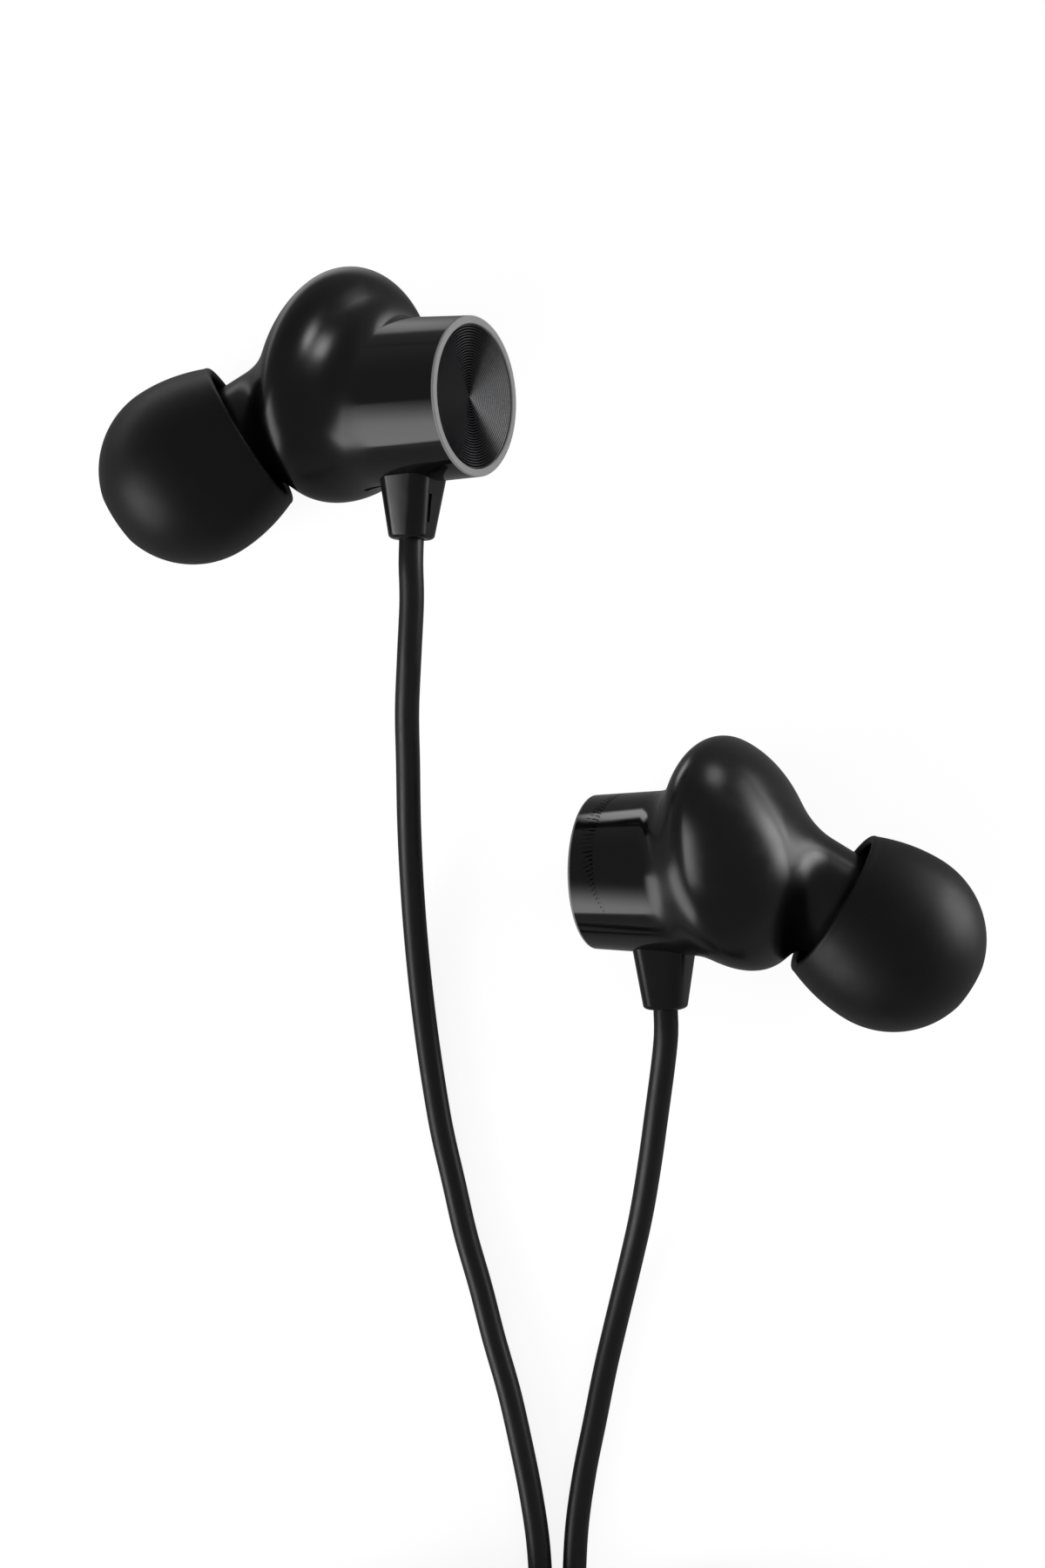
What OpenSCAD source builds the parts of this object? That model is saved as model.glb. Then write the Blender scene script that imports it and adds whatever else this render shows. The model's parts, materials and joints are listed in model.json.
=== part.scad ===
// Wired in-ear earphones, lying on a table: two buds, their cords, the splitter, the main cord and its plug.
// Millimetres. X runs across the pair, Y away from the plug, Z up.
// The origin is on the table, under the buds' middle.
// A bud's own frame has x along its barrel towards the rear, y away from its boot and z to its flush side.

/* [Bud placing] */
// Place of the left bud's centre across and along the table
left_at = [-12.5, 15.9];
// Height of the left bud's centre, which rests on its bulb and its tip
left_height = 5.97; // [5.9:0.01:7]
// Turn of the left bud: tilt, turn about the upright of the table's length, roll on the table
left_turn = [0, -30.4, -1.3];
// Place of the right bud's centre across and along the table
right_at = [12.4, -14.4];
// Height of the right bud's centre, which rests on its bulb and its rear edge
right_height = 8.54; // [8.5:0.01:9.5]
// Turn of the right bud: tilt, turn about the upright of the table's length, roll on the table
right_turn = [-1, 156, 0.8];

/* [Barrel] */
// Outer radius of the barrel at its rear end
barrel_r = 5.05; // [4.9:0.05:5.4]
// Growth of the barrel's radius for each millimetre towards the bulb
barrel_taper = 0.05; // [0.03:0.01:0.08]
// Distance from the bud's centre to the barrel's rear end
barrel_len = 9.6; // [9:0.1:11]
// Radius of the bore along the barrel
barrel_bore_r = 4.3; // [3.9:0.05:4.4]
// Wall of the barrel round the trim ring's sleeve
rear_wall = 0.35; // [0.25:0.05:0.4]

/* [Bulb] */
// Place of the bulb's middle from the bud's centre
bulb_at = [1.1, 1, 0.8];
// Half depth of the bulb along the barrel
bulb_half_depth = 5.4; // [5.2:0.05:5.8]
// Half height of the bulb
bulb_half_height = 8.1; // [7.8:0.05:8.6]
// Half width of the bulb
bulb_half_width = 7.1; // [6.9:0.05:7.5]
// Lean of the bulb's top towards the rear, in degrees
bulb_lean = 10; // [7:1:13]
// Turn of the bulb's rear face towards the flush side, in degrees
bulb_turn = 13; // [10:1:15]
// Roll of the bulb's top towards the flush side, in degrees
bulb_roll = -8; // [-10:1:-4]
// Distance from the bulb's middle to the top of its domed rear face
bulb_rear = 2.6; // [2.4:0.05:2.9]
// Radius of that dome
bulb_rear_r = 11; // [10:0.5:13]
// Reach of the rounded rim round the rear face
bulb_rim = 1.4; // [1.1:0.1:1.7]
// Reach of the fillet between the barrel and the bulb
barrel_blend = 1.4; // [1.1:0.1:1.8]
// Place of the seam between the two shells on the driver's axis
seam_x = 1.2; // [1.05:0.05:1.3]

/* [Nozzle] */
// Start of the nozzle's axis from the bud's centre
nozzle_at = [-0.4, 1.3, 1.4];
// Drop of the nozzle towards the boot's side, in degrees
nozzle_drop = 32.7; // [31:0.1:34]
// Turn of the nozzle towards the flush side, in degrees
nozzle_turn = 24.5; // [23:0.5:26]
// Radius of the neck
neck_r = 3.5; // [3.4:0.05:3.6]
// Reach of the fillet between the bulb and the neck
neck_blend = 1.2; // [0.9:0.1:1.5]
// Distance along the axis to the shoulder where the neck ends
neck_len = 7.2; // [6.9:0.1:7.6]
// Length of the nozzle tube past the shoulder
nozzle_len = 7.9; // [7.8:0.1:8.5]
// Outer radius of the nozzle tube
nozzle_r = 2.2; // [2.1:0.05:2.3]
// Radius of the sound bore
nozzle_bore_r = 1.6; // [1.3:0.05:1.7]
// Radius of the lip that holds the ear tip
lip_r = 2.5; // [2.4:0.05:2.6]
// Length of the lip along the nozzle
lip_len = 0.9; // [0.6:0.1:1.2]
// Distance from the nozzle's end to the lip
lip_back = 1.2; // [1:0.1:2]
// Radius of the wax guard mesh
mesh_r = 1.9; // [1.8:0.05:1.95]
// Thickness of the wax guard mesh
mesh_t = 0.3; // [0.2:0.05:0.4]

/* [Ear tip] */
// Largest radius of the ear tip
tip_r = 6; // [5.5:0.1:6.5]
// Length of the ear tip from its rim to its front
tip_len = 10.3; // [9.8:0.1:10.4]
// Radius of the flat front
tip_flat_r = 1.9; // [1.85:0.05:2.2]
// Radius of the rim at the open rear
tip_rim_r = 5; // [4.8:0.05:5.3]
// Wall of the soft dome
tip_wall = 0.6; // [0.4:0.05:0.8]
// Outer radius of the sleeve that grips the nozzle
tip_sleeve_r = 3.5; // [3.3:0.05:3.7]
// Radius of the sound hole in the front
tip_hole_r = 1.5; // [1.2:0.05:1.6]
// Soft front past the nozzle's end
tip_nose = 1.4; // [1:0.1:1.8]

/* [Trim] */
// Width of the trim ring's face
ring_face_w = 0.5; // [0.4:0.05:0.6]
// Thickness of the trim ring's face
ring_face_t = 0.15; // [0.1:0.05:0.3]
// Depth of the trim ring's sleeve inside the barrel
ring_sleeve_len = 1.05; // [0.9:0.05:1.5]
// Inner radius of the ledge that the end disc sits on
ring_ledge_r = 3.8; // [3.5:0.1:4]
// Thickness of that ledge
ring_ledge_t = 0.2; // [0.15:0.05:0.3]
// Thickness of the end disc
disc_t = 0.35; // [0.25:0.05:0.5]
// Depth of the end disc below the ring's face
disc_recess = 0.15; // [0.1:0.05:0.25]

/* [Driver] */
// Place of the driver's axis across the bulb
driver_at = [0.2, 0.65];
// Distance of the driver's seat in front of the bud's centre
driver_seat = 2.1; // [2:0.05:2.2]
// Radius of the driver
driver_r = 4.6; // [4.4:0.05:4.65]
// Thickness of the front gasket
gasket_t = 0.3; // [0.2:0.05:0.35]
// Thickness of the perforated cover
cover_t = 0.25; // [0.2:0.05:0.3]
// Wall of the driver's frame
frame_wall = 0.4; // [0.3:0.05:0.45]
// Depth of the driver's frame
frame_depth = 1.75; // [1.7:0.05:1.8]
// Distance from the cover to the diaphragm
diaphragm_gap = 0.55; // [0.5:0.05:0.6]
// Thickness of the diaphragm
diaphragm_t = 0.12; // [0.1:0.01:0.14]
// Rise of the diaphragm's dome
dome_rise = 0.25; // [0.2:0.01:0.28]
// Middle radius of the voice coil
coil_r = 2.15; // [2.1:0.01:2.2]
// Wall of the voice coil
coil_wall = 0.2; // [0.15:0.01:0.24]
// Height of the voice coil
coil_h = 1.05; // [0.9:0.05:1.15]
// Clearance on each side of the voice coil
coil_clearance = 0.2; // [0.18:0.01:0.22]
// Radius of the magnet
magnet_r = 1.8; // [1.6:0.05:1.84]
// Thickness of the magnet
magnet_t = 1; // [0.9:0.05:1.1]
// Thickness of the top plate
plate_t = 0.5; // [0.45:0.05:0.55]
// Wall of the yoke
yoke_wall = 0.45; // [0.4:0.05:0.5]
// Thickness of the felt damper
damper_t = 0.2; // [0.1:0.05:0.3]
// Size of the terminal board: height, width, thickness
board = [2.6, 3.6, 0.4];

/* [Boot] */
// Distance of the boot behind the bud's centre
boot_x = 5; // [4.8:0.05:5.3]
// Distance of the boot's lower end from the barrel's axis
boot_drop = 8.9; // [8.4:0.1:9.5]
// Width of the boot where it meets the barrel's axis height less its radius
boot_top_w = 3.75; // [3.5:0.05:4]
// Width of the boot at its lower end
boot_end_w = 2.65; // [2.5:0.05:3]
// Radius of the boot's shank through the barrel's wall
shank_r = 1.3; // [1:0.05:1.5]
// Radius of the anchor that holds the shank inside the barrel
anchor_r = 1.7; // [1.6:0.05:1.8]
// Height of the anchor
anchor_h = 0.9; // [0.6:0.1:1.2]
// Diameter of each lead wire
wire_d = 0.4; // [0.3:0.05:0.5]
// Distance of the vent slot behind the bud's centre
vent_x = 2; // [1.9:0.05:2.1]
// Size of the vent slot along and across the barrel
vent_slot = [1.4, 0.4];

/* [Cords] */
// Diameter of a bud cord
cord_d = 1.6; // [1.4:0.1:1.6]
// Diameter of the main cord
main_d = 2; // [1.8:0.1:2]
// Spacing of the two strands in the bud cords' coil
strand_step = 2.1; // [2.1:0.05:2.3]
// Spacing of the main coil's turns
main_step = 2.45; // [2.45:0.05:2.6]
// Inner radius of the bud cords' coil
pair_inner_r = 6; // [5.8:0.1:6.4]
// Inner radius of the main cord's coil
main_inner_r = 7.7; // [7.4:0.1:8]
// Thickness of the ties round the coils
tie_t = 0.4; // [0.3:0.05:0.5]
// Width of the ties
tie_w = 4; // [3:0.5:5]

/* [Splitter] */
// Length of the splitter
splitter_len = 10; // [9:0.5:10]
// Width of the splitter at the two bud cords
splitter_w = 6; // [5.4:0.1:7]
// Thickness of the splitter
splitter_t = 3; // [2.8:0.1:3]

/* [Plug] */
// Length of the plug's strain relief
relief_len = 8; // [7:0.5:9]
// Length of the plug's grip
grip_len = 16; // [14:0.5:18]
// Radius of the plug's grip
grip_r = 3.5; // [3.2:0.1:3.5]
// Radius of the plug's contacts
jack_r = 1.75; // [1.7:0.01:1.8]
// Length of the plug's sleeve contact
sleeve_len = 6.3; // [5.5:0.1:7]
// Length of the plug's ring contact
ring_len = 1.9; // [1.5:0.1:2.2]
// Length of the plug's tip contact
jack_tip_len = 4.6; // [4.2:0.1:5]
// Length of each insulator between the contacts
insulator_len = 0.6; // [0.4:0.1:0.8]

/* [Hidden] */
SIDES = ["left", "right"];
BUD_PARTS = [
  "ear_tip", "nozzle_mesh", "front_shell", "rear_shell", "trim_ring", "end_disc", "boot", "cord_anchor",
  "lead_wires", "vent_mesh", "gasket", "driver_cover", "diaphragm", "voice_coil", "driver_frame",
  "top_plate", "magnet", "yoke", "rear_damper", "terminal_board"
];
CORD_PARTS = [
  "left_cord", "left_cord_coil", "right_cord", "right_cord_coil", "cord_tie", "y_splitter", "main_cord_coil",
  "main_tie", "main_cord", "plug_strain_relief", "plug_grip", "jack_sleeve", "jack_ring", "jack_tip",
  "jack_insulators"
];
NODES = concat([for (side = SIDES, part = BUD_PARTS) str(side, "_", part)], CORD_PARTS);
node = "all";
$fn = 64;

// Small clearances
slip = 0.05;
fit = 0.02;
tip_clearance = 0.1;
shoulder_gap = 0.2;

// How far a cut runs past the face it leaves through
past = 1;

// Resolution of the smooth body: points round a ring, rings along the front shell, cones to the rear shell
body_points = 40;
front_rings = 22;
rear_cones = [38, 32, 28, 25, 22, 19, 16, 13, 10, 7, 4, 2, 0];
search_steps = 16;
search_reach = 14;

// Nozzle
nozzle_dir = [
  -cos(nozzle_drop) * cos(nozzle_turn),
  -sin(nozzle_drop),
  cos(nozzle_drop) * sin(nozzle_turn)
];
nozzle_end = neck_len + nozzle_len;

// Seam, square to the bulb's own depth
seam_normal = [cos(bulb_turn) * cos(bulb_lean), -cos(bulb_turn) * sin(bulb_lean), sin(bulb_turn)];
seam_middle = [seam_x, driver_at.x, driver_at.y];

shoulder_at = nozzle_at + neck_len * nozzle_dir;
duct_start = 4.6;
chamber_depth = 1;
chamber_r = driver_r - 0.7;

// Ear tip, along the nozzle's axis
tip_front = nozzle_end + tip_clearance + tip_nose;
tip_rim = tip_front - tip_len;
tip_middle = tip_front - sqrt(tip_r * tip_r - tip_flat_r * tip_flat_r);
tip_bore_r = lip_r + tip_clearance;

// Trim, along the barrel
shell_rear = barrel_len - ring_face_t;
sleeve_outer_r = barrel_r - rear_wall;
ring_inner_r = barrel_r - ring_face_w;
disc_seat = barrel_len - disc_recess - disc_t;

// Driver, measured back from its seat
frame_at = gasket_t + cover_t;
frame_end = frame_at + frame_depth;
diaphragm_at = frame_at + diaphragm_gap;
diaphragm_r = driver_r - frame_wall - 0.1;
voice_coil_at = diaphragm_at + diaphragm_t;
plate_r = coil_r - coil_wall / 2 - coil_clearance;
yoke_inner_r = coil_r + coil_wall / 2 + coil_clearance;
yoke_r = yoke_inner_r + yoke_wall;
yoke_at = frame_end - 0.55;
plate_at = voice_coil_at + coil_clearance + 0.25;
magnet_at = plate_at + plate_t;
yoke_floor_at = magnet_at + magnet_t;
yoke_floor_t = 0.4;
board_at = yoke_floor_at + yoke_floor_t;
pocket_r = driver_r + 0.1;
lip_inner_r = driver_r - 0.35;
rear_chamber_end = driver_seat + 2.4;
seam_reach = pocket_r * norm([seam_normal.y, seam_normal.z]) / seam_normal.x;
bore_front = 0.9;

// Boot
boot_end = [boot_x, -boot_drop, 0];
boot_top = barrel_r - 0.45;
boot_edge = 0.3;
boot_corner = 0.55;
anchor_y = -sqrt(barrel_bore_r * barrel_bore_r - anchor_r * anchor_r) + slip;
mark_depth = 0.25;

// Points of the cords on the table, from the boots to the coils, and on to the splitter and the plug
coil_clear = 0.1;
pair_level = tie_t + coil_clear + cord_d / 2;
main_level = tie_t + coil_clear + main_d / 2;
left_points = [
  [-8.4, 3, 8], [-8.6, -0.5, 7.1], [-8.8, -4, 5.8], [-8.8, -7.5, 4.4], [-8.8, -11, 3.1], [-8.7, -14.5, 2.1],
  [-8.5, -18, 1.4], [-8.2, -21.5, 1], [-7.8, -25, 0.8], [-7.3, -28.5, 0.8], [-6.7, -32, 0.8],
  [-5.9, -35.5, 0.8], [-5.1, -39, 0.8], [-4.1, -42.5, 0.8], [-3.2, -46, 0.8], [-2.2, -49.5, 0.8],
  [-1.4, -53, 0.8], [-0.7, -56.5, 0.8],
  [-0.2, -60, 0.8], [0, -64, 0.8], [0, -68, 1], [0, -72, 1.2], [0, -75.5, pair_level]
];
right_points = [
  [7.9, -27, 5.8], [7.5, -30.5, 4.9], [7.1, -34, 3.7], [6.6, -37.5, 2.5], [5.9, -41, 1.5], [5.1, -44.5, 1],
  [4.3, -48, 0.8], [3.6, -51.5, 0.8], [2.9, -55, 0.8], [2.4, -58.5, 0.8], [2.2, -62, 0.8], [2.1, -66, 0.8],
  [2.1, -70, 1.1], [2.1, -75.5, pair_level]
];
// Heights of the bud cords above the coil's first layer where they cross over to the splitter
tail_points = [[-9, 2.1], [-6, 2.1], [-2.5, 2], [1, 1.7], [4, 1], [6, 0.5], [7.4, 0.2]];
splitter_at = [9, -64.6, main_level];
main_points = [[15, -94.5, 8.5], [13.3, -95.6, 7.3], [11.9, -97.2, 5.8], [10.5, -99.1, 4.3]];
plug_at = [7, -100.2, grip_r];

// Coils: middle, first angle in degrees, turns, layers, inner radius, step of the spiral, lift of a layer
pair_turns = 3.75;
main_turns = 11.5;
pair_pitch = 2 * strand_step;
pair_outer_r = pair_inner_r + pair_pitch * pair_turns / 2;
main_outer_r = main_inner_r + main_step * main_turns / 4;
pair_middle = [-pair_outer_r, -79.5, pair_level];
main_lead = 3;
main_middle = [splitter_at.x + splitter_len + main_lead, splitter_at.y - main_outer_r, main_level];
rings_a_turn = 24;

function unit(v) = v / norm(v);
function blend(a, b, share) = a + (b - a) * share;
function clamp(value, low, high) = min(max(value, low), high);
function sum(points, i = 0) = i == len(points) - 1 ? points[i] : points[i] + sum(points, i + 1);

// Where a point of a bud's own frame lies on the table

function bud_at(side) =
  side == "left" ? [left_at.x, left_at.y, left_height] : [right_at.x, right_at.y, right_height];

function bud_turn(side) = side == "left" ? left_turn : right_turn;

function about_x(p, a) = [p.x, p.y * cos(a) - p.z * sin(a), p.y * sin(a) + p.z * cos(a)];
function about_y(p, a) = [p.x * cos(a) + p.z * sin(a), p.y, p.z * cos(a) - p.x * sin(a)];
function about_z(p, a) = [p.x * cos(a) - p.y * sin(a), p.x * sin(a) + p.y * cos(a), p.z];

function bud_point(side, p) =
  let (turn = bud_turn(side))
  bud_at(side) + about_z(about_y(about_x(p, turn.x), turn.y), turn.z);

// Smooth outer body of a bud, as a level that is negative inside

function smooth_min(a, b, reach) =
  let (share = clamp(0.5 + (b - a) / (2 * reach), 0, 1))
  blend(b, a, share) - reach * share * (1 - share);

function barrel_radius(x) = barrel_r + barrel_taper * clamp(barrel_len - x, 0, barrel_len);

function barrel_level(p) = norm([min(p.x - 1, 0), p.y, p.z]) - barrel_radius(p.x);

function bulb_level(p) =
  let (
    q = about_x(about_y(about_z(p - bulb_at, bulb_lean), bulb_turn), -bulb_roll),
    scaled = [q.x / bulb_half_depth, q.y / bulb_half_height, q.z / bulb_half_width],
    slope = [scaled.x / bulb_half_depth, scaled.y / bulb_half_height, scaled.z / bulb_half_width],
    egg = norm(scaled) * (norm(scaled) - 1) / max(norm(slope), 0.001),
    rear = norm(q - [bulb_rear - bulb_rear_r, 0, 0]) - bulb_rear_r
  )
  -smooth_min(-egg, -rear, bulb_rim);

function neck_level(p) =
  let (along = max((p - nozzle_at) * nozzle_dir, 0))
  norm(p - nozzle_at - along * nozzle_dir) - neck_r;

function body_level(p) =
  smooth_min(smooth_min(barrel_level(p), bulb_level(p), barrel_blend), neck_level(p), neck_blend);

// Distance from a point inside the body to its surface, by halving
function skin_distance(start, dir, near = 0, far = search_reach, steps = search_steps) =
  steps == 0 ? near :
  let (half = (near + far) / 2)
  body_level(start + half * dir) < 0
    ? skin_distance(start, dir, half, far, steps - 1)
    : skin_distance(start, dir, near, half, steps - 1);

// Ring of points where a cone about the heading, opening backwards from square by an angle, meets the body
function body_ring(start, heading, back = 0) =
  let (
    up = unit([0, 1, 0] - ([0, 1, 0] * heading) * heading),
    side = cross(heading, up)
  )
  [for (i = [0:body_points - 1])
    let (
      angle = 360 * i / body_points,
      across = up * cos(angle) + side * sin(angle),
      dir = across * cos(back) - heading * sin(back)
    )
    start + skin_distance(start, dir) * dir];

function rear_body() = concat(
  [body_ring([shell_rear, 0, 0], [-1, 0, 0])],
  [for (back = rear_cones) body_ring(seam_middle, -seam_normal, back)]
);

function front_body() =
  [for (i = [0:front_rings]) let (share = i / front_rings)
    body_ring(blend(seam_middle, shoulder_at, share), unit(blend(-seam_normal, nozzle_dir, share)))];

// Closed solid through rings of equally many points, each ring anticlockwise when looked at against the path
module skin(rings) {
  n = len(rings[0]);
  m = len(rings);
  points = concat([for (ring = rings) each ring], [sum(rings[0]) / n, sum(rings[m - 1]) / n]);
  sides = [for (i = [0:m - 2], j = [0:n - 1]) let (k = (j + 1) % n, a = i * n, b = a + n)
    each [[a + j, b + j, b + k], [a + j, b + k, a + k]]];
  start_cap = [for (j = [0:n - 1]) [m * n, j, (j + 1) % n]];
  end_cap = [for (j = [0:n - 1]) let (last = (m - 1) * n) [m * n + 1, last + (j + 1) % n, last + j]];
  polyhedron(points, concat(sides, start_cap, end_cap));
}

// Rings of a round tube along a path, with its sides counted from the given upright
function tube_rings(path, d, sides, upright = [0, 0, 1]) =
  let (last = len(path) - 1)
  [for (i = [0:last])
    let (
      heading = unit(path[min(i + 1, last)] - path[max(i - 1, 0)]),
      across = unit(cross(heading, upright)),
      up = cross(across, heading)
    )
    [for (j = [0:sides - 1]) let (angle = 360 * (j + 0.5) / sides)
      path[i] + (up * cos(angle) + across * sin(angle)) * d / 2]];

module tube(path, d, sides = 8, upright = [0, 0, 1]) {
  skin(tube_rings(path, d, sides, upright));
}

// Points of a coil that winds clockwise, spirals in and out by turns and climbs a layer where it reverses
function coil_points(centre, first_angle, turns, layers, inner_r, pitch, lift) =
  let (per_layer = turns / layers, count = ceil(turns * rings_a_turn))
  [for (i = [0:count])
    let (
      turn = turns * i / count,
      layer = min(floor(turn / per_layer), layers - 1),
      along = turn - layer * per_layer,
      out = layer % 2 == 0 ? per_layer - along : along,
      radius = inner_r + pitch * out,
      climbs = [for (k = [1:layers - 1]) 0.5 + 0.5 * sin(clamp(360 * (turn - k * per_layer), -90, 90))],
      angle = first_angle - 360 * turn
    )
    centre + [radius * cos(angle), radius * sin(angle), lift * sum(climbs)]];

// Coil points with a straight lead of one diameter at each end
function coil_path(centre, first_angle, turns, layers, inner_r, pitch, lift, lead) =
  let (
    loops = coil_points(centre, first_angle, turns, layers, inner_r, pitch, lift),
    last_angle = first_angle - 360 * turns,
    into = [sin(first_angle), -cos(first_angle), 0],
    out = [sin(last_angle), -cos(last_angle), 0]
  )
  concat([loops[0] - lead * into], loops, [loops[len(loops) - 1] + lead * out]);

// Least gap between stretches of a coil that lie more than half a turn apart along it
function least_gap(path, d) =
  min([for (i = [0:len(path) - 1], j = [i + rings_a_turn / 2:1:len(path) - 1]) norm(path[i] - path[j])]) - d;

function path_length(path) = sum([for (i = [1:len(path) - 1]) norm(path[i] - path[i - 1])]);

left_coil = function () coil_path(
  pair_middle, 0, pair_turns, 2, pair_inner_r, pair_pitch, strand_step, cord_d);
right_coil = function () coil_path(
  pair_middle, 0, pair_turns, 2, pair_inner_r + strand_step, pair_pitch, strand_step, cord_d);
main_coil = function () coil_path(
  main_middle, 90, main_turns, 4, main_inner_r, main_step, main_step, main_lead);

// Routes of the cords between the boots, the coils, the splitter and the plug

function bud_cord(side, points, strand) =
  let (into_coil = [pair_middle.x + pair_outer_r + strand, pair_middle.y + cord_d, pair_level])
  concat([bud_point(side, boot_end), bud_point(side, boot_end - [0, cord_d, 0])], points, [into_coil]);

function bud_cord_tail(strand) =
  let (
    y = pair_middle.y + pair_outer_r + strand,
    start = [pair_middle.x + cord_d, y, pair_level + strand_step]
  )
  concat(
    [start],
    [for (point = tail_points) [point.x, y, pair_level + point.y]],
    [[splitter_at.x, y, splitter_at.z]]
  );

coil_exit = main_middle + [-main_lead, -main_outer_r, 3 * main_step];
main_route = concat(
  [coil_exit, coil_exit - [main_d, 0, 0]],
  main_points,
  [plug_at + [main_d, 0, 0], plug_at]
);

// Places on a bud

module on_bud(side) {
  translate(bud_at(side)) rotate(bud_turn(side)) children();
}

// Upright along the nozzle's axis, with its zero at the axis's start
module on_nozzle(along = 0) {
  translate(nozzle_at + along * nozzle_dir)
    rotate([0, acos(nozzle_dir.z), atan2(nozzle_dir.y, nozzle_dir.x)]) children();
}

// Upright along the barrel towards its rear
module on_barrel(along = 0) {
  translate([along, 0, 0]) rotate([0, 90, 0]) children();
}

// Upright along the driver's axis towards the rear, with its zero at the driver's seat
module on_driver(along = 0) {
  translate([along - driver_seat, driver_at.x, driver_at.y]) rotate([0, 90, 0]) children();
}

// Upright along the boot, away from the barrel
module on_boot(along = 0) {
  translate([boot_x, -along, 0]) rotate([90, 0, 0]) children();
}

module washer(outer_r, inner_r, h) {
  difference() {
    cylinder(r = outer_r, h = h);
    translate([0, 0, -past]) cylinder(r = inner_r, h = h + 2 * past);
  }
}

// Shells

module front_shell() {
  color([0.05, 0.05, 0.055])
  difference() {
    union() {
      skin(front_body());
      on_nozzle(neck_len - 0.6) cylinder(r = nozzle_r, h = nozzle_len + 0.6);
      on_nozzle(nozzle_end - lip_back - lip_len) cylinder(r = lip_r, h = lip_len);
    }
    on_driver() cylinder(r = pocket_r, h = driver_seat + seam_x + seam_reach + past);
    on_driver(-chamber_depth) cylinder(r = chamber_r, h = chamber_depth + past);
    on_nozzle(duct_start) cylinder(r = nozzle_bore_r, h = nozzle_end);
    on_nozzle(nozzle_end - mesh_t) cylinder(r = mesh_r, h = mesh_t + past);
  }
}

module rear_shell() {
  color([0.05, 0.05, 0.055])
  difference() {
    union() {
      difference() {
        skin(rear_body());
        on_driver() cylinder(r = pocket_r, h = frame_end + slip);
      }
      on_driver(frame_end + slip)
        cylinder(r = pocket_r - slip, h = driver_seat + seam_x + seam_reach - frame_end - slip);
    }
    on_driver(frame_end - past) cylinder(r = lip_inner_r, h = rear_chamber_end - frame_end + past);
    on_barrel(bore_front) cylinder(r = barrel_bore_r, h = barrel_len);
    on_barrel(shell_rear - ring_sleeve_len) cylinder(r = sleeve_outer_r, h = barrel_len);
    on_boot(barrel_bore_r - past) cylinder(r = shank_r + slip, h = boot_drop);
    translate([vent_x - vent_slot.x / 2, -boot_drop, -vent_slot.y / 2])
      cube([vent_slot.x, boot_drop - barrel_bore_r + past, vent_slot.y]);
  }
}

module nozzle_mesh() {
  hole_r = 0.17;
  hole_step = 0.62;
  rows = 2;
  color([0.45, 0.45, 0.47])
  on_nozzle(nozzle_end - mesh_t + fit)
  difference() {
    cylinder(r = mesh_r - fit, h = mesh_t - fit);
    for (row = [-rows:rows], i = [0:2 * rows - abs(row)]) {
      across = (i - (2 * rows - abs(row)) / 2) * hole_step;
      translate([across, row * hole_step * sin(60), -past]) cylinder(r = hole_r, h = mesh_t + 2 * past);
    }
  }
}

module vent_mesh() {
  margin = 0.25;
  size = [vent_slot.x + 2 * margin, 0.15, vent_slot.y + 2 * margin];
  top = sqrt(barrel_bore_r * barrel_bore_r - size.z * size.z / 4) - fit;
  color([0.4, 0.4, 0.42])
  translate([vent_x - size.x / 2, -top, -size.z / 2]) cube(size);
}

// Ear tip

function tip_radius(along) =
  along > tip_middle
    ? sqrt(tip_r * tip_r - (along - tip_middle) * (along - tip_middle))
    : tip_r - (tip_r - tip_rim_r) * pow((tip_middle - along) / (tip_middle - tip_rim), 2);

module ear_tip() {
  dome_steps = 10;
  skirt_steps = 6;
  hollow_r = tip_r - tip_wall;
  front_angle = asin(tip_flat_r / tip_r);
  hollow_angle = asin((tip_sleeve_r + 0.3) / hollow_r);
  hollow_top = tip_middle + hollow_r * cos(hollow_angle) - 0.3;
  outside = [for (i = [0:dome_steps]) let (a = blend(front_angle, 90, i / dome_steps))
    [tip_r * sin(a), tip_middle + tip_r * cos(a)]];
  skirt = [for (i = [1:skirt_steps]) let (t = blend(tip_middle, tip_rim, i / skirt_steps))
    [tip_radius(t), t]];
  skirt_inside = [for (i = [skirt_steps:-1:1]) let (t = blend(tip_middle, tip_rim, i / skirt_steps))
    [tip_radius(t) - tip_wall, t]];
  inside = [for (i = [dome_steps:-1:0]) let (a = blend(hollow_angle, 90, i / dome_steps))
    [hollow_r * sin(a), tip_middle + hollow_r * cos(a)]];
  sleeve = [
    [tip_sleeve_r, hollow_top], [tip_sleeve_r, neck_len + shoulder_gap],
    [tip_bore_r, neck_len + shoulder_gap], [tip_bore_r, nozzle_end + tip_clearance],
    [tip_hole_r, nozzle_end + tip_clearance], [tip_hole_r, tip_front]
  ];
  color([0.09, 0.09, 0.09])
  on_nozzle() rotate_extrude() polygon(concat(outside, skirt, skirt_inside, inside, sleeve));
}

// Trim at the rear end

module trim_ring() {
  sleeve_r = sleeve_outer_r - fit;
  sleeve_start = shell_rear - ring_sleeve_len + fit;
  ledge_start = disc_seat - ring_ledge_t;
  color([0.5, 0.5, 0.51])
  on_barrel() rotate_extrude() polygon([
    [sleeve_r, sleeve_start], [sleeve_r, shell_rear], [barrel_r, shell_rear], [barrel_r, barrel_len],
    [ring_inner_r, barrel_len], [ring_inner_r, disc_seat], [ring_ledge_r, disc_seat],
    [ring_ledge_r, ledge_start], [ring_inner_r, ledge_start], [ring_inner_r, sleeve_start]
  ]);
}

module end_disc() {
  color([0.22, 0.22, 0.23])
  on_barrel(disc_seat) cylinder(r = ring_inner_r - fit, h = disc_t);
}

// Boot, anchor and lead wires

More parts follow.
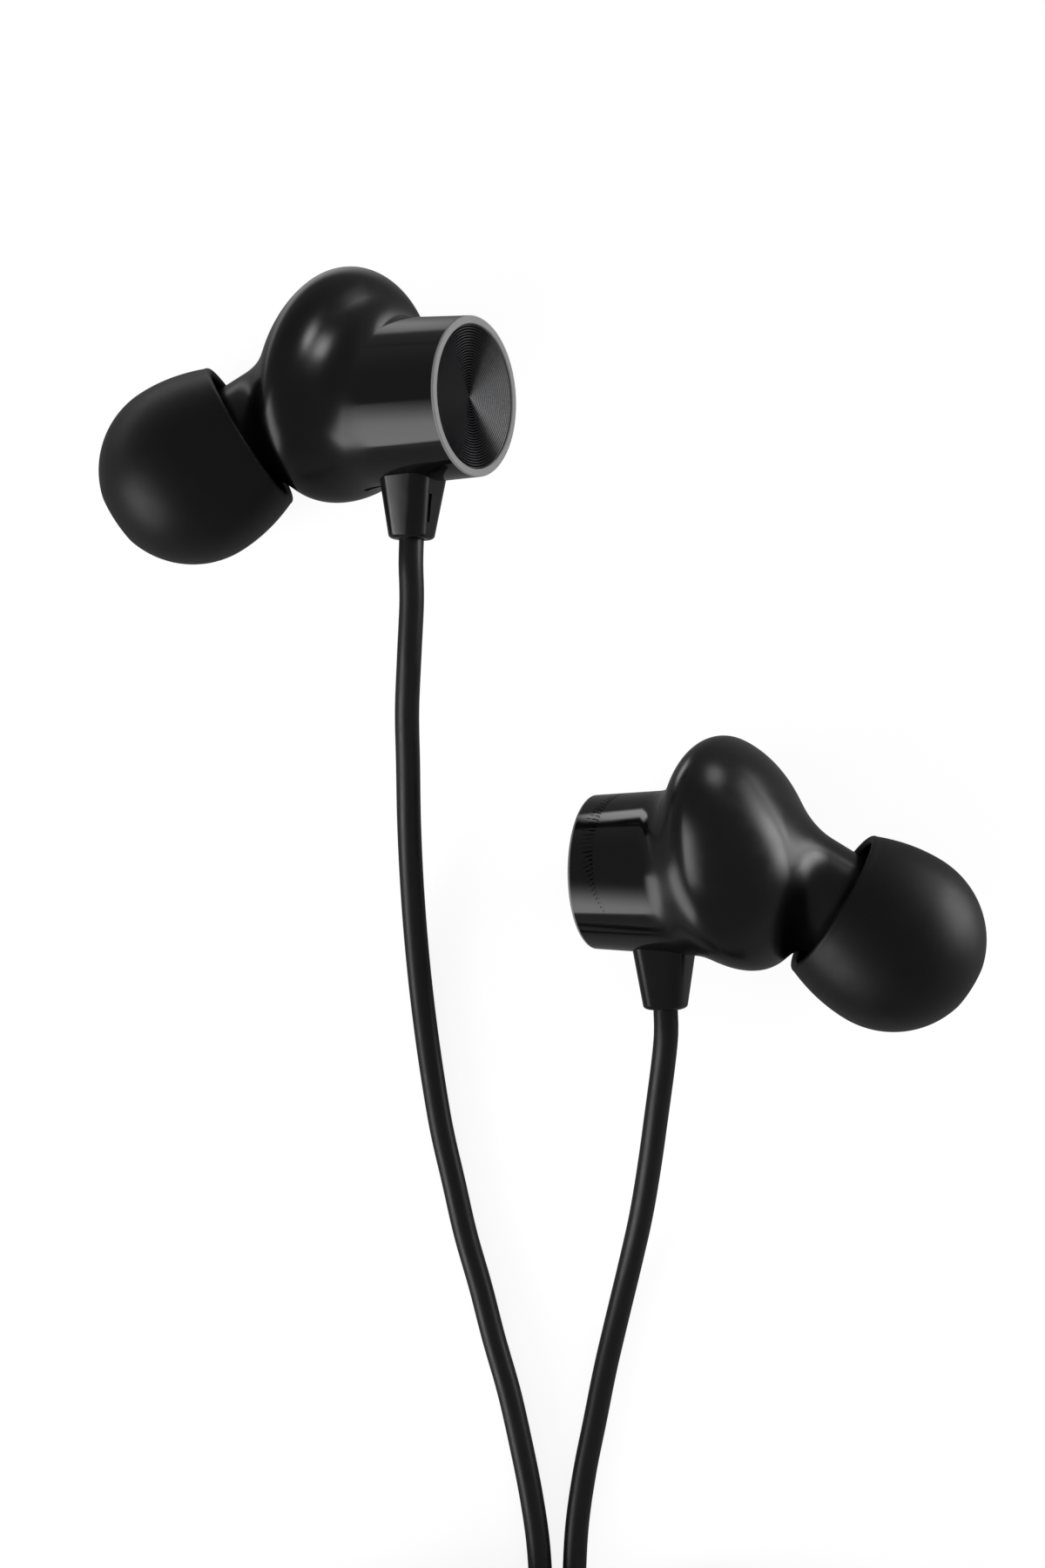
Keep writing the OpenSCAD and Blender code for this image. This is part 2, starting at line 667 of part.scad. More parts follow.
function boot_ring(along, width) =
  let (r = boot_corner, half = width / 2 - r)
  [for (corner = [0:3], step = [0:3])
    let (angle = 90 * corner + 30 * step, sx = corner == 0 || corner == 3 ? 1 : -1, sz = corner < 2 ? 1 : -1)
    [boot_x + sx * half + r * cos(angle), -along, sz * half + r * sin(angle)]];

module boot(marks) {
  taper = (boot_top_w - boot_end_w) / (boot_drop - boot_top);
  cut_r = barrel_radius(boot_x) + slip;
  mark_h = (boot_drop - barrel_r) * 0.45;
  mark_w = 0.3;
  mark_step = 1;
  mark_x = boot_x + (boot_top_w + boot_end_w) / 4;
  color([0.08, 0.08, 0.085]) {
    difference() {
      skin([
        boot_ring(boot_top, boot_top_w),
        boot_ring(boot_drop - boot_edge, boot_end_w + taper * boot_edge),
        boot_ring(boot_drop, boot_end_w - boot_edge)
      ]);
      on_barrel(boot_x - boot_top_w)
        cylinder(
          r1 = barrel_radius(boot_x - boot_top_w) + slip, r2 = barrel_radius(boot_x + boot_top_w) + slip,
          h = 2 * boot_top_w
        );
      for (mark = [1:marks]) {
        mark_z = (1.5 - mark) * mark_step - mark_w / 2;
        translate([mark_x - mark_depth, -(barrel_r + boot_drop + mark_h) / 2, mark_z])
          cube([mark_depth + past, mark_h, mark_w]);
      }
    }
    on_boot(-anchor_y) cylinder(r = shank_r, h = cut_r + 0.4 + anchor_y);
  }
}

module cord_anchor() {
  color([0.15, 0.15, 0.15])
  on_boot(-anchor_y - anchor_h) cylinder(r = anchor_r, h = anchor_h);
}

module lead_wires() {
  spread = 0.45;
  board_face = board_at - driver_seat + board.z;
  anchor_top = anchor_y + anchor_h;
  color([0.55, 0.12, 0.1])
  for (z = [-spread, spread]) {
    end = [board_face, driver_at.x - 0.8, driver_at.y + z];
    tube([
      [boot_x, anchor_top, z], [boot_x, anchor_top + 0.6, z], [boot_x - 0.5, anchor_top + 1.5, z],
      blend([boot_x - 1.1, anchor_top + 2.1, z], end + [1.3, -0.3, 0], 0.5), end + [0.6, 0, 0], end
    ], wire_d, 6);
  }
}

// Driver, from front to rear

module gasket() {
  color([0.25, 0.25, 0.26])
  on_driver() washer(driver_r, chamber_r, gasket_t);
}

module driver_cover() {
  hole_r = 0.42;
  ring_r = driver_r * 0.5;
  holes = 8;
  color([0.6, 0.6, 0.6])
  on_driver(gasket_t)
  difference() {
    cylinder(r = driver_r, h = cover_t);
    translate([0, 0, -past]) cylinder(r = hole_r, h = cover_t + 2 * past);
    for (i = [1:holes]) {
      rotate(360 * i / holes) translate([ring_r, 0, -past]) cylinder(r = hole_r, h = cover_t + 2 * past);
    }
  }
}

module diaphragm() {
  steps = 8;
  crown = function (r) dome_rise * (1 - pow(min(r / coil_r, 1), 2));
  front = [for (i = [0:steps]) let (r = coil_r * i / steps) [r, diaphragm_at - crown(r)]];
  back = [for (i = [steps:-1:0]) let (r = coil_r * i / steps) [r, diaphragm_at + diaphragm_t - crown(r)]];
  rim = [[diaphragm_r, diaphragm_at], [diaphragm_r, diaphragm_at + diaphragm_t]];
  color([0.75, 0.7, 0.55])
  on_driver() rotate_extrude() polygon(concat(front, rim, back));
}

module voice_coil() {
  color([0.72, 0.38, 0.2])
  on_driver(voice_coil_at) washer(coil_r + coil_wall / 2, coil_r - coil_wall / 2, coil_h);
}

module driver_frame() {
  floor_t = 0.4;
  vent_r = 0.45;
  vents = 6;
  vent_ring_r = (yoke_r + driver_r - frame_wall) / 2;
  color([0.3, 0.3, 0.32])
  difference() {
    on_driver(frame_at) cylinder(r = driver_r, h = frame_depth);
    on_driver(frame_at - past) cylinder(r = driver_r - frame_wall, h = frame_depth - floor_t + past);
    on_driver(frame_at) cylinder(r = yoke_r + fit, h = frame_depth + past);
    for (i = [1:vents]) {
      on_driver(frame_at) rotate(360 * i / vents) translate([vent_ring_r, 0, 0])
        cylinder(r = vent_r, h = frame_depth + past);
    }
  }
}

module top_plate() {
  color([0.55, 0.55, 0.57])
  on_driver(plate_at) cylinder(r = plate_r, h = plate_t);
}

module magnet() {
  color([0.35, 0.35, 0.37])
  on_driver(magnet_at) cylinder(r = magnet_r, h = magnet_t);
}

module yoke() {
  color([0.6, 0.6, 0.62])
  difference() {
    on_driver(yoke_at) cylinder(r = yoke_r, h = board_at - yoke_at);
    on_driver(yoke_at - past) cylinder(r = yoke_inner_r, h = yoke_floor_at - yoke_at + past);
  }
}

module rear_damper() {
  color([0.85, 0.85, 0.8])
  on_driver(frame_end) washer(lip_inner_r - 0.1, yoke_r + slip, damper_t);
}

module terminal_board() {
  color([0.1, 0.35, 0.2])
  on_driver(board_at) translate([-board.x / 2, -board.y / 2, 0]) cube(board);
}

// Cords, coils and ties

module left_cord() {
  color([0.09, 0.09, 0.09]) {
    tube(bud_cord("left", left_points, 0), cord_d);
    tube(bud_cord_tail(0), cord_d);
  }
}

module right_cord() {
  color([0.09, 0.09, 0.09]) {
    tube(bud_cord("right", right_points, strand_step), cord_d);
    tube(bud_cord_tail(strand_step), cord_d);
  }
}

module cord_coil(path, d, name) {
  echo(str(name, ": least gap to itself ", least_gap(path, d), ", length ", path_length(path)));
  color([0.09, 0.09, 0.09]) tube(path, d, 6);
}

module main_cord() {
  color([0.09, 0.09, 0.09]) tube(main_route, main_d);
}

// Strap round a coil's turns, as a rounded frame that stands square to the turns
module tie(inner_r, outer_r, height) {
  corner = 1;
  reach = outer_r - inner_r;
  color([0.14, 0.14, 0.15])
  translate([inner_r, tie_w / 2, tie_t]) rotate([90, 0, 0]) linear_extrude(tie_w)
  difference() {
    rounded([reach, height], corner, tie_t);
    rounded([reach, height], corner, 0);
  }
}

// Rectangle from the origin with round corners, grown by a margin on every side
module rounded(size, corner, margin) {
  r = corner + margin;
  translate([corner, -margin]) square([size.x - 2 * corner, size.y + 2 * margin]);
  translate([-margin, corner]) square([size.x + 2 * margin, size.y - 2 * corner]);
  for (x = [corner, size.x - corner], y = [corner, size.y - corner]) {
    translate([x, y]) circle(r);
  }
}

module cord_tie() {
  translate([pair_middle.x, pair_middle.y, 0]) rotate(180)
    tie(pair_inner_r - cord_d / 2 - 0.5, pair_outer_r + strand_step + cord_d / 2 + 0.2,
        strand_step + cord_d + 2 * coil_clear);
}

module main_tie() {
  translate([main_middle.x, main_middle.y, 0])
    tie(
      main_inner_r - main_d / 2 - 0.4, main_outer_r + main_d / 2 + 0.2,
      3 * main_step + main_d + 2 * coil_clear
    );
}

// Splitter and plug

function splitter_ring(along, width, height) =
  let (r = height * 0.42, half_w = width / 2 - r, half_h = height / 2 - r)
  [for (corner = [0:3], step = [0:3])
    let (angle = 90 * corner + 30 * step, sy = corner == 0 || corner == 3 ? 1 : -1, sz = corner < 2 ? 1 : -1)
    splitter_at + [along, sy * half_w + r * cos(angle), sz * half_h + r * sin(angle)]];

module y_splitter() {
  end_w = main_d * 1.5;
  edge = 0.5;
  color([0.08, 0.08, 0.085])
  skin([
    splitter_ring(0, splitter_w - edge, splitter_t - edge),
    splitter_ring(edge, splitter_w, splitter_t),
    splitter_ring(splitter_len * 0.3, splitter_w, splitter_t),
    splitter_ring(splitter_len - edge, end_w + edge, splitter_t),
    splitter_ring(splitter_len, end_w, splitter_t - edge)
  ]);
}

// Upright along the plug, away from its cord
module on_plug(along = 0) {
  translate(plug_at - [along, 0, 0]) rotate([0, -90, 0]) children();
}

jack_start = relief_len + grip_len;
collar_len = 1;
ring_at = jack_start + collar_len + sleeve_len + insulator_len;
jack_tip_at = ring_at + ring_len + insulator_len;

module plug_strain_relief() {
  ribs = 5;
  rib_len = 0.8;
  rib_depth = 0.35;
  start_r = main_d / 2 + 0.4;
  end_r = grip_r - 0.9;
  color([0.08, 0.08, 0.085])
  on_plug()
  difference() {
    cylinder(r1 = start_r, r2 = end_r, h = relief_len);
    for (i = [1:ribs]) {
      share = i / (ribs + 1);
      translate([0, 0, relief_len * share - rib_len / 2])
        washer(grip_r, blend(start_r, end_r, share) - rib_depth, rib_len);
    }
  }
}

module plug_grip() {
  edge = 0.6;
  color([0.08, 0.08, 0.085])
  on_plug(relief_len) rotate_extrude() polygon([
    [0, 0], [grip_r - edge, 0], [grip_r, edge], [grip_r, grip_len - 2 * edge], [grip_r - edge, grip_len],
    [0, grip_len]
  ]);
}

module jack_sleeve() {
  color([0.8, 0.66, 0.36])
  on_plug(jack_start) {
    cylinder(r = jack_r + 0.8, h = collar_len);
    cylinder(r = jack_r, h = collar_len + sleeve_len);
  }
}

module jack_ring() {
  color([0.8, 0.66, 0.36])
  on_plug(ring_at) cylinder(r = jack_r, h = ring_len);
}

module jack_tip() {
  neck = 1.2;
  color([0.8, 0.66, 0.36])
  on_plug(jack_tip_at) rotate_extrude() polygon([
    [0, 0], [jack_r, 0], [jack_r, 0.6], [neck, 1.5], [neck, 2], [jack_r - 0.1, 2.9], [0.5, jack_tip_len],
    [0, jack_tip_len]
  ]);
}

module jack_insulators() {
  color([0.05, 0.05, 0.05])
  for (along = [ring_at - insulator_len, jack_tip_at - insulator_len]) {
    on_plug(along) cylinder(r = jack_r - fit, h = insulator_len);
  }
}

// What is drawn

function wanted(name) = node == "all" || node == name;

for (side = SIDES) {
  if (wanted(str(side, "_ear_tip"))) on_bud(side) ear_tip();
  if (wanted(str(side, "_nozzle_mesh"))) on_bud(side) nozzle_mesh();
  if (wanted(str(side, "_front_shell"))) on_bud(side) front_shell();
  if (wanted(str(side, "_rear_shell"))) on_bud(side) rear_shell();
  if (wanted(str(side, "_trim_ring"))) on_bud(side) trim_ring();
  if (wanted(str(side, "_end_disc"))) on_bud(side) end_disc();
  if (wanted(str(side, "_boot"))) on_bud(side) boot(side == "left" ? 1 : 2);
  if (wanted(str(side, "_cord_anchor"))) on_bud(side) cord_anchor();
  if (wanted(str(side, "_lead_wires"))) on_bud(side) lead_wires();
  if (wanted(str(side, "_vent_mesh"))) on_bud(side) vent_mesh();
  if (wanted(str(side, "_gasket"))) on_bud(side) gasket();
  if (wanted(str(side, "_driver_cover"))) on_bud(side) driver_cover();
  if (wanted(str(side, "_diaphragm"))) on_bud(side) diaphragm();
  if (wanted(str(side, "_voice_coil"))) on_bud(side) voice_coil();
  if (wanted(str(side, "_driver_frame"))) on_bud(side) driver_frame();
  if (wanted(str(side, "_top_plate"))) on_bud(side) top_plate();
  if (wanted(str(side, "_magnet"))) on_bud(side) magnet();
  if (wanted(str(side, "_yoke"))) on_bud(side) yoke();
  if (wanted(str(side, "_rear_damper"))) on_bud(side) rear_damper();
  if (wanted(str(side, "_terminal_board"))) on_bud(side) terminal_board();
}
if (wanted("left_cord")) left_cord();
if (wanted("left_cord_coil")) cord_coil(left_coil(), cord_d, "left cord coil");
if (wanted("right_cord")) right_cord();
if (wanted("right_cord_coil")) cord_coil(right_coil(), cord_d, "right cord coil");
if (wanted("cord_tie")) cord_tie();
if (wanted("y_splitter")) y_splitter();
if (wanted("main_cord_coil")) cord_coil(main_coil(), main_d, "main cord coil");
if (wanted("main_tie")) main_tie();
if (wanted("main_cord")) main_cord();
if (wanted("plug_strain_relief")) plug_strain_relief();
if (wanted("plug_grip")) plug_grip();
if (wanted("jack_sleeve")) jack_sleeve();
if (wanted("jack_ring")) jack_ring();
if (wanted("jack_tip")) jack_tip();
if (wanted("jack_insulators")) jack_insulators();
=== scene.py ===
"""Looks of a pair of wired earphones lying on a pale table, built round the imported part.

Lengths are in millimetres, in a bud's own frame or in the part's, and become metres when a piece is made.
A bud's own x runs along its barrel to the rear, y away from its boot and z to its flush side.
"""

import json
import math

import bpy
import numpy as np
from mathutils import Euler, Matrix, Vector


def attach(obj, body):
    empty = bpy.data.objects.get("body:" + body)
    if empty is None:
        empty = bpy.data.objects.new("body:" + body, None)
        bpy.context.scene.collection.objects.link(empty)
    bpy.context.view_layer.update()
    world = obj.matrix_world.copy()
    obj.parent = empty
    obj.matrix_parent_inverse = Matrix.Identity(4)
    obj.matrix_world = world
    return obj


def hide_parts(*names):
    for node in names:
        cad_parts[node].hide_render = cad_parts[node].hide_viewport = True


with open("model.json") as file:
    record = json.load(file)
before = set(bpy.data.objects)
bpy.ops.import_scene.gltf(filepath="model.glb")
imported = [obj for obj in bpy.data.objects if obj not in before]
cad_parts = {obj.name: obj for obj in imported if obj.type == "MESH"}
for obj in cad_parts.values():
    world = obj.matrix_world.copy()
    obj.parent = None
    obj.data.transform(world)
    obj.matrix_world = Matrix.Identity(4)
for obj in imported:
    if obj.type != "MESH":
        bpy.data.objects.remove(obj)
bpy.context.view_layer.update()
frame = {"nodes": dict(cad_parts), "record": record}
MM = 0.001

# Sizes that the part's source states

PLACE = {
    "left": ((-12.5, 15.9, 5.97), (0, -30.4, -1.3)),
    "right": ((12.4, -14.4, 8.54), (-1, 156, 0.8)),
}
BARREL_R = 5.05
BARREL_TAPER = 0.05
BARREL_LEN = 9.6
BARREL_ROUND_X = 1.0
BULB_AT = np.array([1.1, 1.0, 0.8])
BULB_HALF = np.array([5.4, 8.1, 7.1])
BULB_LEAN = math.radians(10)
BULB_TURN = math.radians(13)
BULB_ROLL = math.radians(-8)
BULB_REAR = 2.6
BULB_REAR_R = 11.0
BULB_RIM = 1.4
BARREL_BLEND = 1.4
SEAM_MIDDLE = np.array([1.2, 0.2, 0.65])
NOZZLE_AT = np.array([-0.4, 1.3, 1.4])
NOZZLE_DROP = math.radians(32.7)
NOZZLE_TURN = math.radians(24.5)
NECK_R = 3.5
NECK_BLEND = 1.2
NECK_LEN = 7.2
NOZZLE_END = 15.1
NOZZLE_R = 2.2
NOZZLE_BORE_R = 1.6
LIP_R = 2.5
LIP_LEN = 0.9
LIP_BACK = 1.2
MESH_R = 1.9
MESH_T = 0.3
TIP_R = 6.0
TIP_FRONT = 16.6
TIP_RIM = 6.3
TIP_RIM_R = 5.0
TIP_FLAT_R = 1.9
TIP_WALL = 0.6
TIP_HOLE_R = 1.5
TIP_SLEEVE_R = 3.5
TIP_BORE_R = 2.6
RING_FACE = (9.45, 9.6)
RING_INNER_R = 4.55
DISC_SEAT = 9.1
DISC_TOP = 9.45
BOOT_X = 5.0
BOOT_DROP = 8.9
BOOT_TOP = 4.6
BOOT_TOP_W = 3.75
BOOT_END_W = 2.65
BOOT_EDGE = 0.3
VENT_X = (1.3, 2.7)
VENT_HALF_W = 0.2
CORD_D = 1.6
MAIN_D = 2.0

# Sizes that only the looks have

# Depth of the end disc's cone
DISC_DISH = 0.33
# Rounder than the corners of the part's boots, and inside them
BOOT_CORNER = 1.0
VENT_WALL = 2.2
# Places of the upright grooves across the boots' rear faces
GROOVES = {"left": (0.5,), "right": (-0.5, 0.5)}

# Values that follow from these

NOZZLE_DIR = np.array([
    -math.cos(NOZZLE_DROP) * math.cos(NOZZLE_TURN),
    -math.sin(NOZZLE_DROP),
    math.cos(NOZZLE_DROP) * math.sin(NOZZLE_TURN),
])
SHOULDER = NOZZLE_AT + NECK_LEN * NOZZLE_DIR
TIP_MIDDLE = TIP_FRONT - math.sqrt(TIP_R ** 2 - TIP_FLAT_R ** 2)
BULB_SPIN = np.array(
    Matrix.Rotation(-BULB_ROLL, 3, "X")
    @ Matrix.Rotation(BULB_TURN, 3, "Y")
    @ Matrix.Rotation(BULB_LEAN, 3, "Z")
)
SEAM_FORWARD = -BULB_SPIN[0]


def bud_matrix(side):
    at, turn = PLACE[side]
    spin = Euler([math.radians(a) for a in turn], "XYZ").to_matrix().to_4x4()
    return Matrix.Translation(Vector(at) * MM) @ spin


def axis_matrix(at, heading):
    """Frame in a bud's own frame whose z runs along the heading."""
    turn = Vector((0, 0, 1)).rotation_difference(Vector(heading)).to_matrix().to_4x4()
    return Matrix.Translation(Vector(at) * MM) @ turn


# Camera and studio

CAMERA_AT = (-1.275, -8.76, 167.3)
CAMERA_LENS = 56.9
SENSOR_HEIGHT = 36
NEAR_CLIP = 0.01
TABLE_HALF = 3.0
TABLE_GREY = (0.6, 0.6, 0.6, 1)
# Levels of the table as the camera sees it, and as gloss mirrors it near the buds and in a patch beyond
# them. The patch is painted glow: a pool of light on the table that no lamp casts, seen only by mirrored
# rays
FLOOR_DIRECT = 0.86
FLOOR_MIRRORED = (0.05, 1.1)
# Stretches over which the painted glow patch starts and ends along y, and ends along x
PATCH_START = (22 * MM, 36 * MM)
PATCH_END = (40 * MM, 58 * MM)
PATCH_RIGHT = (-20 * MM, 5 * MM)
# Levels of the room at the horizon and from a height upwards
ROOM_LEVEL = (0.26, 0.18)
ROOM_HEIGHT = 0.5
# Distance of the softboxes, and the height that they point at
BOX_DISTANCE = 0.6
BOX_AIM = 8 * MM


def math_node(tree, operation, *values):
    """Result of an operation on values that are each a socket or a number."""
    node = tree.nodes.new("ShaderNodeMath")
    node.operation = operation
    for socket, value in zip(node.inputs, values):
        if isinstance(value, (int, float)):
            socket.default_value = value
        else:
            tree.links.new(value, socket)
    return node.outputs[0]


def product(tree, first, *others):
    for other in others:
        first = math_node(tree, "MULTIPLY", first, other)
    return first


def ramp(tree, value, low, high, start=0.0, end=1.0, kind="SMOOTHSTEP"):
    """Step of a value from one level to another, smooth unless another kind is named."""
    node = tree.nodes.new("ShaderNodeMapRange")
    node.interpolation_type = kind
    for name, number in (("From Min", low), ("From Max", high), ("To Min", start), ("To Max", end)):
        node.inputs[name].default_value = number
    tree.links.new(value, node.inputs["Value"])
    return node.outputs[0]


def axes(tree, vector):
    """Outputs X, Y and Z of a vector."""
    parts = tree.nodes.new("ShaderNodeSeparateXYZ")
    tree.links.new(vector, parts.inputs[0])
    return parts.outputs


def make_camera():
    data = bpy.data.cameras.new("camera")
    data.sensor_fit = "VERTICAL"
    data.sensor_height = SENSOR_HEIGHT
    data.lens = CAMERA_LENS
    data.clip_start = NEAR_CLIP
    camera = bpy.data.objects.new("camera", data)
    camera.location = [v * MM for v in CAMERA_AT]
    bpy.context.collection.objects.link(camera)
    bpy.context.scene.camera = camera


def make_floor():
    """Table that is white to the camera, and dim in gloss apart from a patch of painted glow, a pool of
    light that only mirrored rays see.
    """
    mesh = bpy.data.meshes.new("table")
    corners = [(x * TABLE_HALF, y * TABLE_HALF, 0) for x, y in ((-1, -1), (1, -1), (1, 1), (-1, 1))]
    mesh.from_pydata(corners, [], [(0, 1, 2, 3)])
    table = bpy.data.objects.new("table", mesh)
    bpy.context.collection.objects.link(table)
    mat = bpy.data.materials.new("table_white")
    mat.use_nodes = True
    tree = mat.node_tree
    tree.nodes.clear()
    out = tree.nodes.new("ShaderNodeOutputMaterial")
    add = tree.nodes.new("ShaderNodeAddShader")
    diffuse = tree.nodes.new("ShaderNodeBsdfDiffuse")
    diffuse.inputs["Color"].default_value = TABLE_GREY
    glow = tree.nodes.new("ShaderNodeEmission")
    path = tree.nodes.new("ShaderNodeLightPath").outputs
    mirrored = math_node(tree, "MAXIMUM", path["Is Glossy Ray"], path["Is Transmission Ray"])
    place = axes(tree, tree.nodes.new("ShaderNodeTexCoord").outputs["Object"])
    # Painted glow: a patch of the table that shines only in mirrored rays, standing in for a lit stretch of
    # table
    patch = product(
        tree,
        ramp(tree, place["Y"], *PATCH_START),
        ramp(tree, place["Y"], *PATCH_END, 1, 0),
        ramp(tree, place["X"], *PATCH_RIGHT, 1, 0),
    )
    mirrored = product(tree, mirrored, ramp(tree, patch, 0, 1, *FLOOR_MIRRORED))
    direct = product(tree, path["Is Camera Ray"], FLOOR_DIRECT)
    tree.links.new(math_node(tree, "MAXIMUM", direct, mirrored), glow.inputs["Strength"])
    tree.links.new(diffuse.outputs[0], add.inputs[0])
    tree.links.new(glow.outputs[0], add.inputs[1])
    tree.links.new(add.outputs[0], out.inputs["Surface"])
    mesh.materials.append(mat)


def make_world():
    """Dim room that is lighter towards the horizon, and white where the camera sees it."""
    world = bpy.data.worlds.new("studio")
    bpy.context.scene.world = world
    world.use_nodes = True
    tree = world.node_tree
    tree.nodes.clear()
    out = tree.nodes.new("ShaderNodeOutputWorld")
    back = tree.nodes.new("ShaderNodeBackground")
    back.inputs["Color"].default_value = (1, 1, 1, 1)
    path = tree.nodes.new("ShaderNodeLightPath").outputs
    way = axes(tree, tree.nodes.new("ShaderNodeTexCoord").outputs["Generated"])
    level = ramp(tree, way["Z"], 0, ROOM_HEIGHT, *ROOM_LEVEL)
    tree.links.new(math_node(tree, "MAXIMUM", path["Is Camera Ray"], level), back.inputs["Strength"])
    tree.links.new(back.outputs[0], out.inputs["Surface"])


def area_lamp(name, place, facing, size, radiance, edges, lit=(), unlit=()):
    """Area lamp whose low x, high x, low y and high y edges fade over shares of its size.

    Where pieces are named it lights those alone, or all but those.
    """
    data = bpy.data.lights.new(name, "AREA")
    data.shape = "RECTANGLE"
    data.size, data.size_y = size
    data.energy = radiance * math.pi * size[0] * size[1]
    data.use_nodes = True
    tree = data.node_tree
    across = axes(tree, tree.nodes.new("ShaderNodeNewGeometry").outputs["Parametric"])
    level = product(
        tree,
        ramp(tree, across["X"], 0, edges[0]),
        ramp(tree, across["X"], 1 - edges[1], 1, 1, 0),
        ramp(tree, across["Y"], 0, edges[2]),
        ramp(tree, across["Y"], 1 - edges[3], 1, 1, 0),
    )
    tree.links.new(level, tree.nodes["Emission"].inputs["Strength"])
    lamp = bpy.data.objects.new(name, data)
    lamp.location = place
    lamp.rotation_euler = (-Vector(facing)).to_track_quat("Z", "Y").to_euler()
    lamp.visible_camera = False
    bpy.context.collection.objects.link(lamp)
    if lit or unlit:
        group = bpy.data.collections.new(f"{name}_pieces")
        for piece in (*lit, *unlit):
            group.objects.link(piece)
        for entry in group.collection_objects:
            entry.light_linking.link_state = "INCLUDE" if lit else "EXCLUDE"
        lamp.light_linking.receiver_collection = group
        if lit:
            lamp.light_linking.blocker_collection = group


def card(name, at, facing, size, **rest):
    """Small lamp close to the buds, with its place and size in millimetres."""
    area_lamp(name, Vector(at) * MM, facing, [v * MM for v in size], **rest)


def softbox(name, lean, turn, width, height, **rest):
    """Lamp seen from the buds so far from straight up and round from x.

    These angles, its width and its height are in degrees.
    """
    lean, turn = math.radians(lean), math.radians(turn)
    towards = Vector((math.sin(lean) * math.cos(turn), math.sin(lean) * math.sin(turn), math.cos(lean)))
    size = [2 * BOX_DISTANCE * math.tan(math.radians(a / 2)) for a in (width, height)]
    area_lamp(name, towards * BOX_DISTANCE + Vector((0, 0, BOX_AIM)), -towards, size, **rest)


def make_lights(left_shells, right_shells, boots, discs):
    crisp = (0.1, 0.1, 0.1, 0.1)
    half_soft = (0.3, 0.3, 0.3, 0.3)
    soft = (0.45, 0.45, 0.45, 0.45)
    up = (0, 0, 1)
    # Over all pieces, or all but the boots
    softbox("side_strip", lean=71, turn=213, width=46, height=38, radiance=3.1,
            edges=(0.05, 0.05, 0.05, 0.5), unlit=boots)
    softbox("large_box", lean=79, turn=20, width=60, height=30, radiance=6.5, edges=(0.4, 0.4, 0.05, 0.7))
    card("right_card", at=(75, 12, 1.5), facing=up, size=(70, 90), radiance=6.0, edges=soft)
    # Over some pieces alone
    softbox("boot_strip", lean=78, turn=190, width=26, height=26, radiance=4.0, edges=crisp, lit=boots)
    softbox("left_spot", lean=31, turn=50, width=25, height=27, radiance=9.0, edges=soft, lit=left_shells)
    softbox("right_spot", lean=74, turn=70, width=24, height=26, radiance=4.0, edges=soft, lit=right_shells)
    softbox("right_rim", lean=24, turn=173, width=50, height=20, radiance=4.5,
            edges=(0.1, 0.1, 0.1, 0.7), lit=right_shells)
    card("right_strip", at=(0.3, 2.2, 6), facing=(4.2, -12.2, 5), size=(10, 5.5), radiance=3.6,
         edges=half_soft, lit=right_shells)
    softbox("disc_box", lean=82, turn=-6, width=34, height=30, radiance=3.2, edges=soft, lit=discs)
    card("disc_card", at=(10, 18.5, 0.5), facing=up, size=(9, 5), radiance=6.0, edges=half_soft, lit=discs)


# Materials

NOISE_DETAIL = 3.0
# Where most of a noise's values lie
NOISE_RANGE = (0.3, 0.7)
# Cells in a metre of the patches of colour and of the fine grain
PATCHES = 900
GRAIN = 9000
SHELL_DARK = (0.0035, 0.0035, 0.0038)
SHELL_LIGHTER = 1.4
# Stretch of the bud's own x over which the shells get smoother, and their roughness before and after it
POLISH_X = (3.2 * MM, 4.8 * MM)
POLISH_ROUGH = (0.25, 0.09)
POLISH_SPREAD = (0.92, 1.08)
# Slope of the disc's cone in its bump, and the distance and depth of its rings
DISC_SLOPE = 0.25
DISC_RING_STEP = 0.17
DISC_RING_DEPTH = 0.006
# Colours of the disc from its ring grooves to its ring crests: a dark metal of its own, with the grooves
# painted darker as painted shade in the recesses
DISC_DARK = (0.012, 0.012, 0.0125)
DISC_LIGHT = (0.07, 0.07, 0.0715)
DISC_EDGE_TINT = (0.15, 0.15, 0.15, 1)
DISC_ROUGH = (0.27, 0.29)
DISC_PATCHES = 2500


def new_material(name):
    mat = bpy.data.materials.new(name)
    mat.use_nodes = True
    return mat, mat.node_tree, mat.node_tree.nodes["Principled BSDF"]


def object_noise(tree, scale):
    """Noise in the piece's object frame, with so many cells in a metre."""
    coords = tree.nodes.new("ShaderNodeTexCoord")
    noise = tree.nodes.new("ShaderNodeTexNoise")
    noise.inputs["Scale"].default_value = scale
    noise.inputs["Detail"].default_value = NOISE_DETAIL
    tree.links.new(coords.outputs["Object"], noise.inputs["Vector"])
    return noise.outputs[0]


def vary(tree, value, low, high, socket):
    """Spreads a noise evenly from low to high."""
    tree.links.new(ramp(tree, value, *NOISE_RANGE, low, high, kind="LINEAR"), socket)


def tint(tree, value, dark, light, socket):
    mix = tree.nodes.new("ShaderNodeMix")
    mix.data_type = "RGBA"
    mix.inputs["A"].default_value = (*dark, 1)
    mix.inputs["B"].default_value = (*light, 1)
    tree.links.new(value, mix.inputs["Factor"])
    tree.links.new(mix.outputs["Result"], socket)


def bump(tree, value, depth, strength, shader):
    """Bump of the given depth in millimetres."""
    node = tree.nodes.new("ShaderNodeBump")
    node.inputs["Distance"].default_value = depth * MM
    node.inputs["Strength"].default_value = strength
    tree.links.new(value, node.inputs["Height"])
    tree.links.new(node.outputs[0], shader.inputs["Normal"])


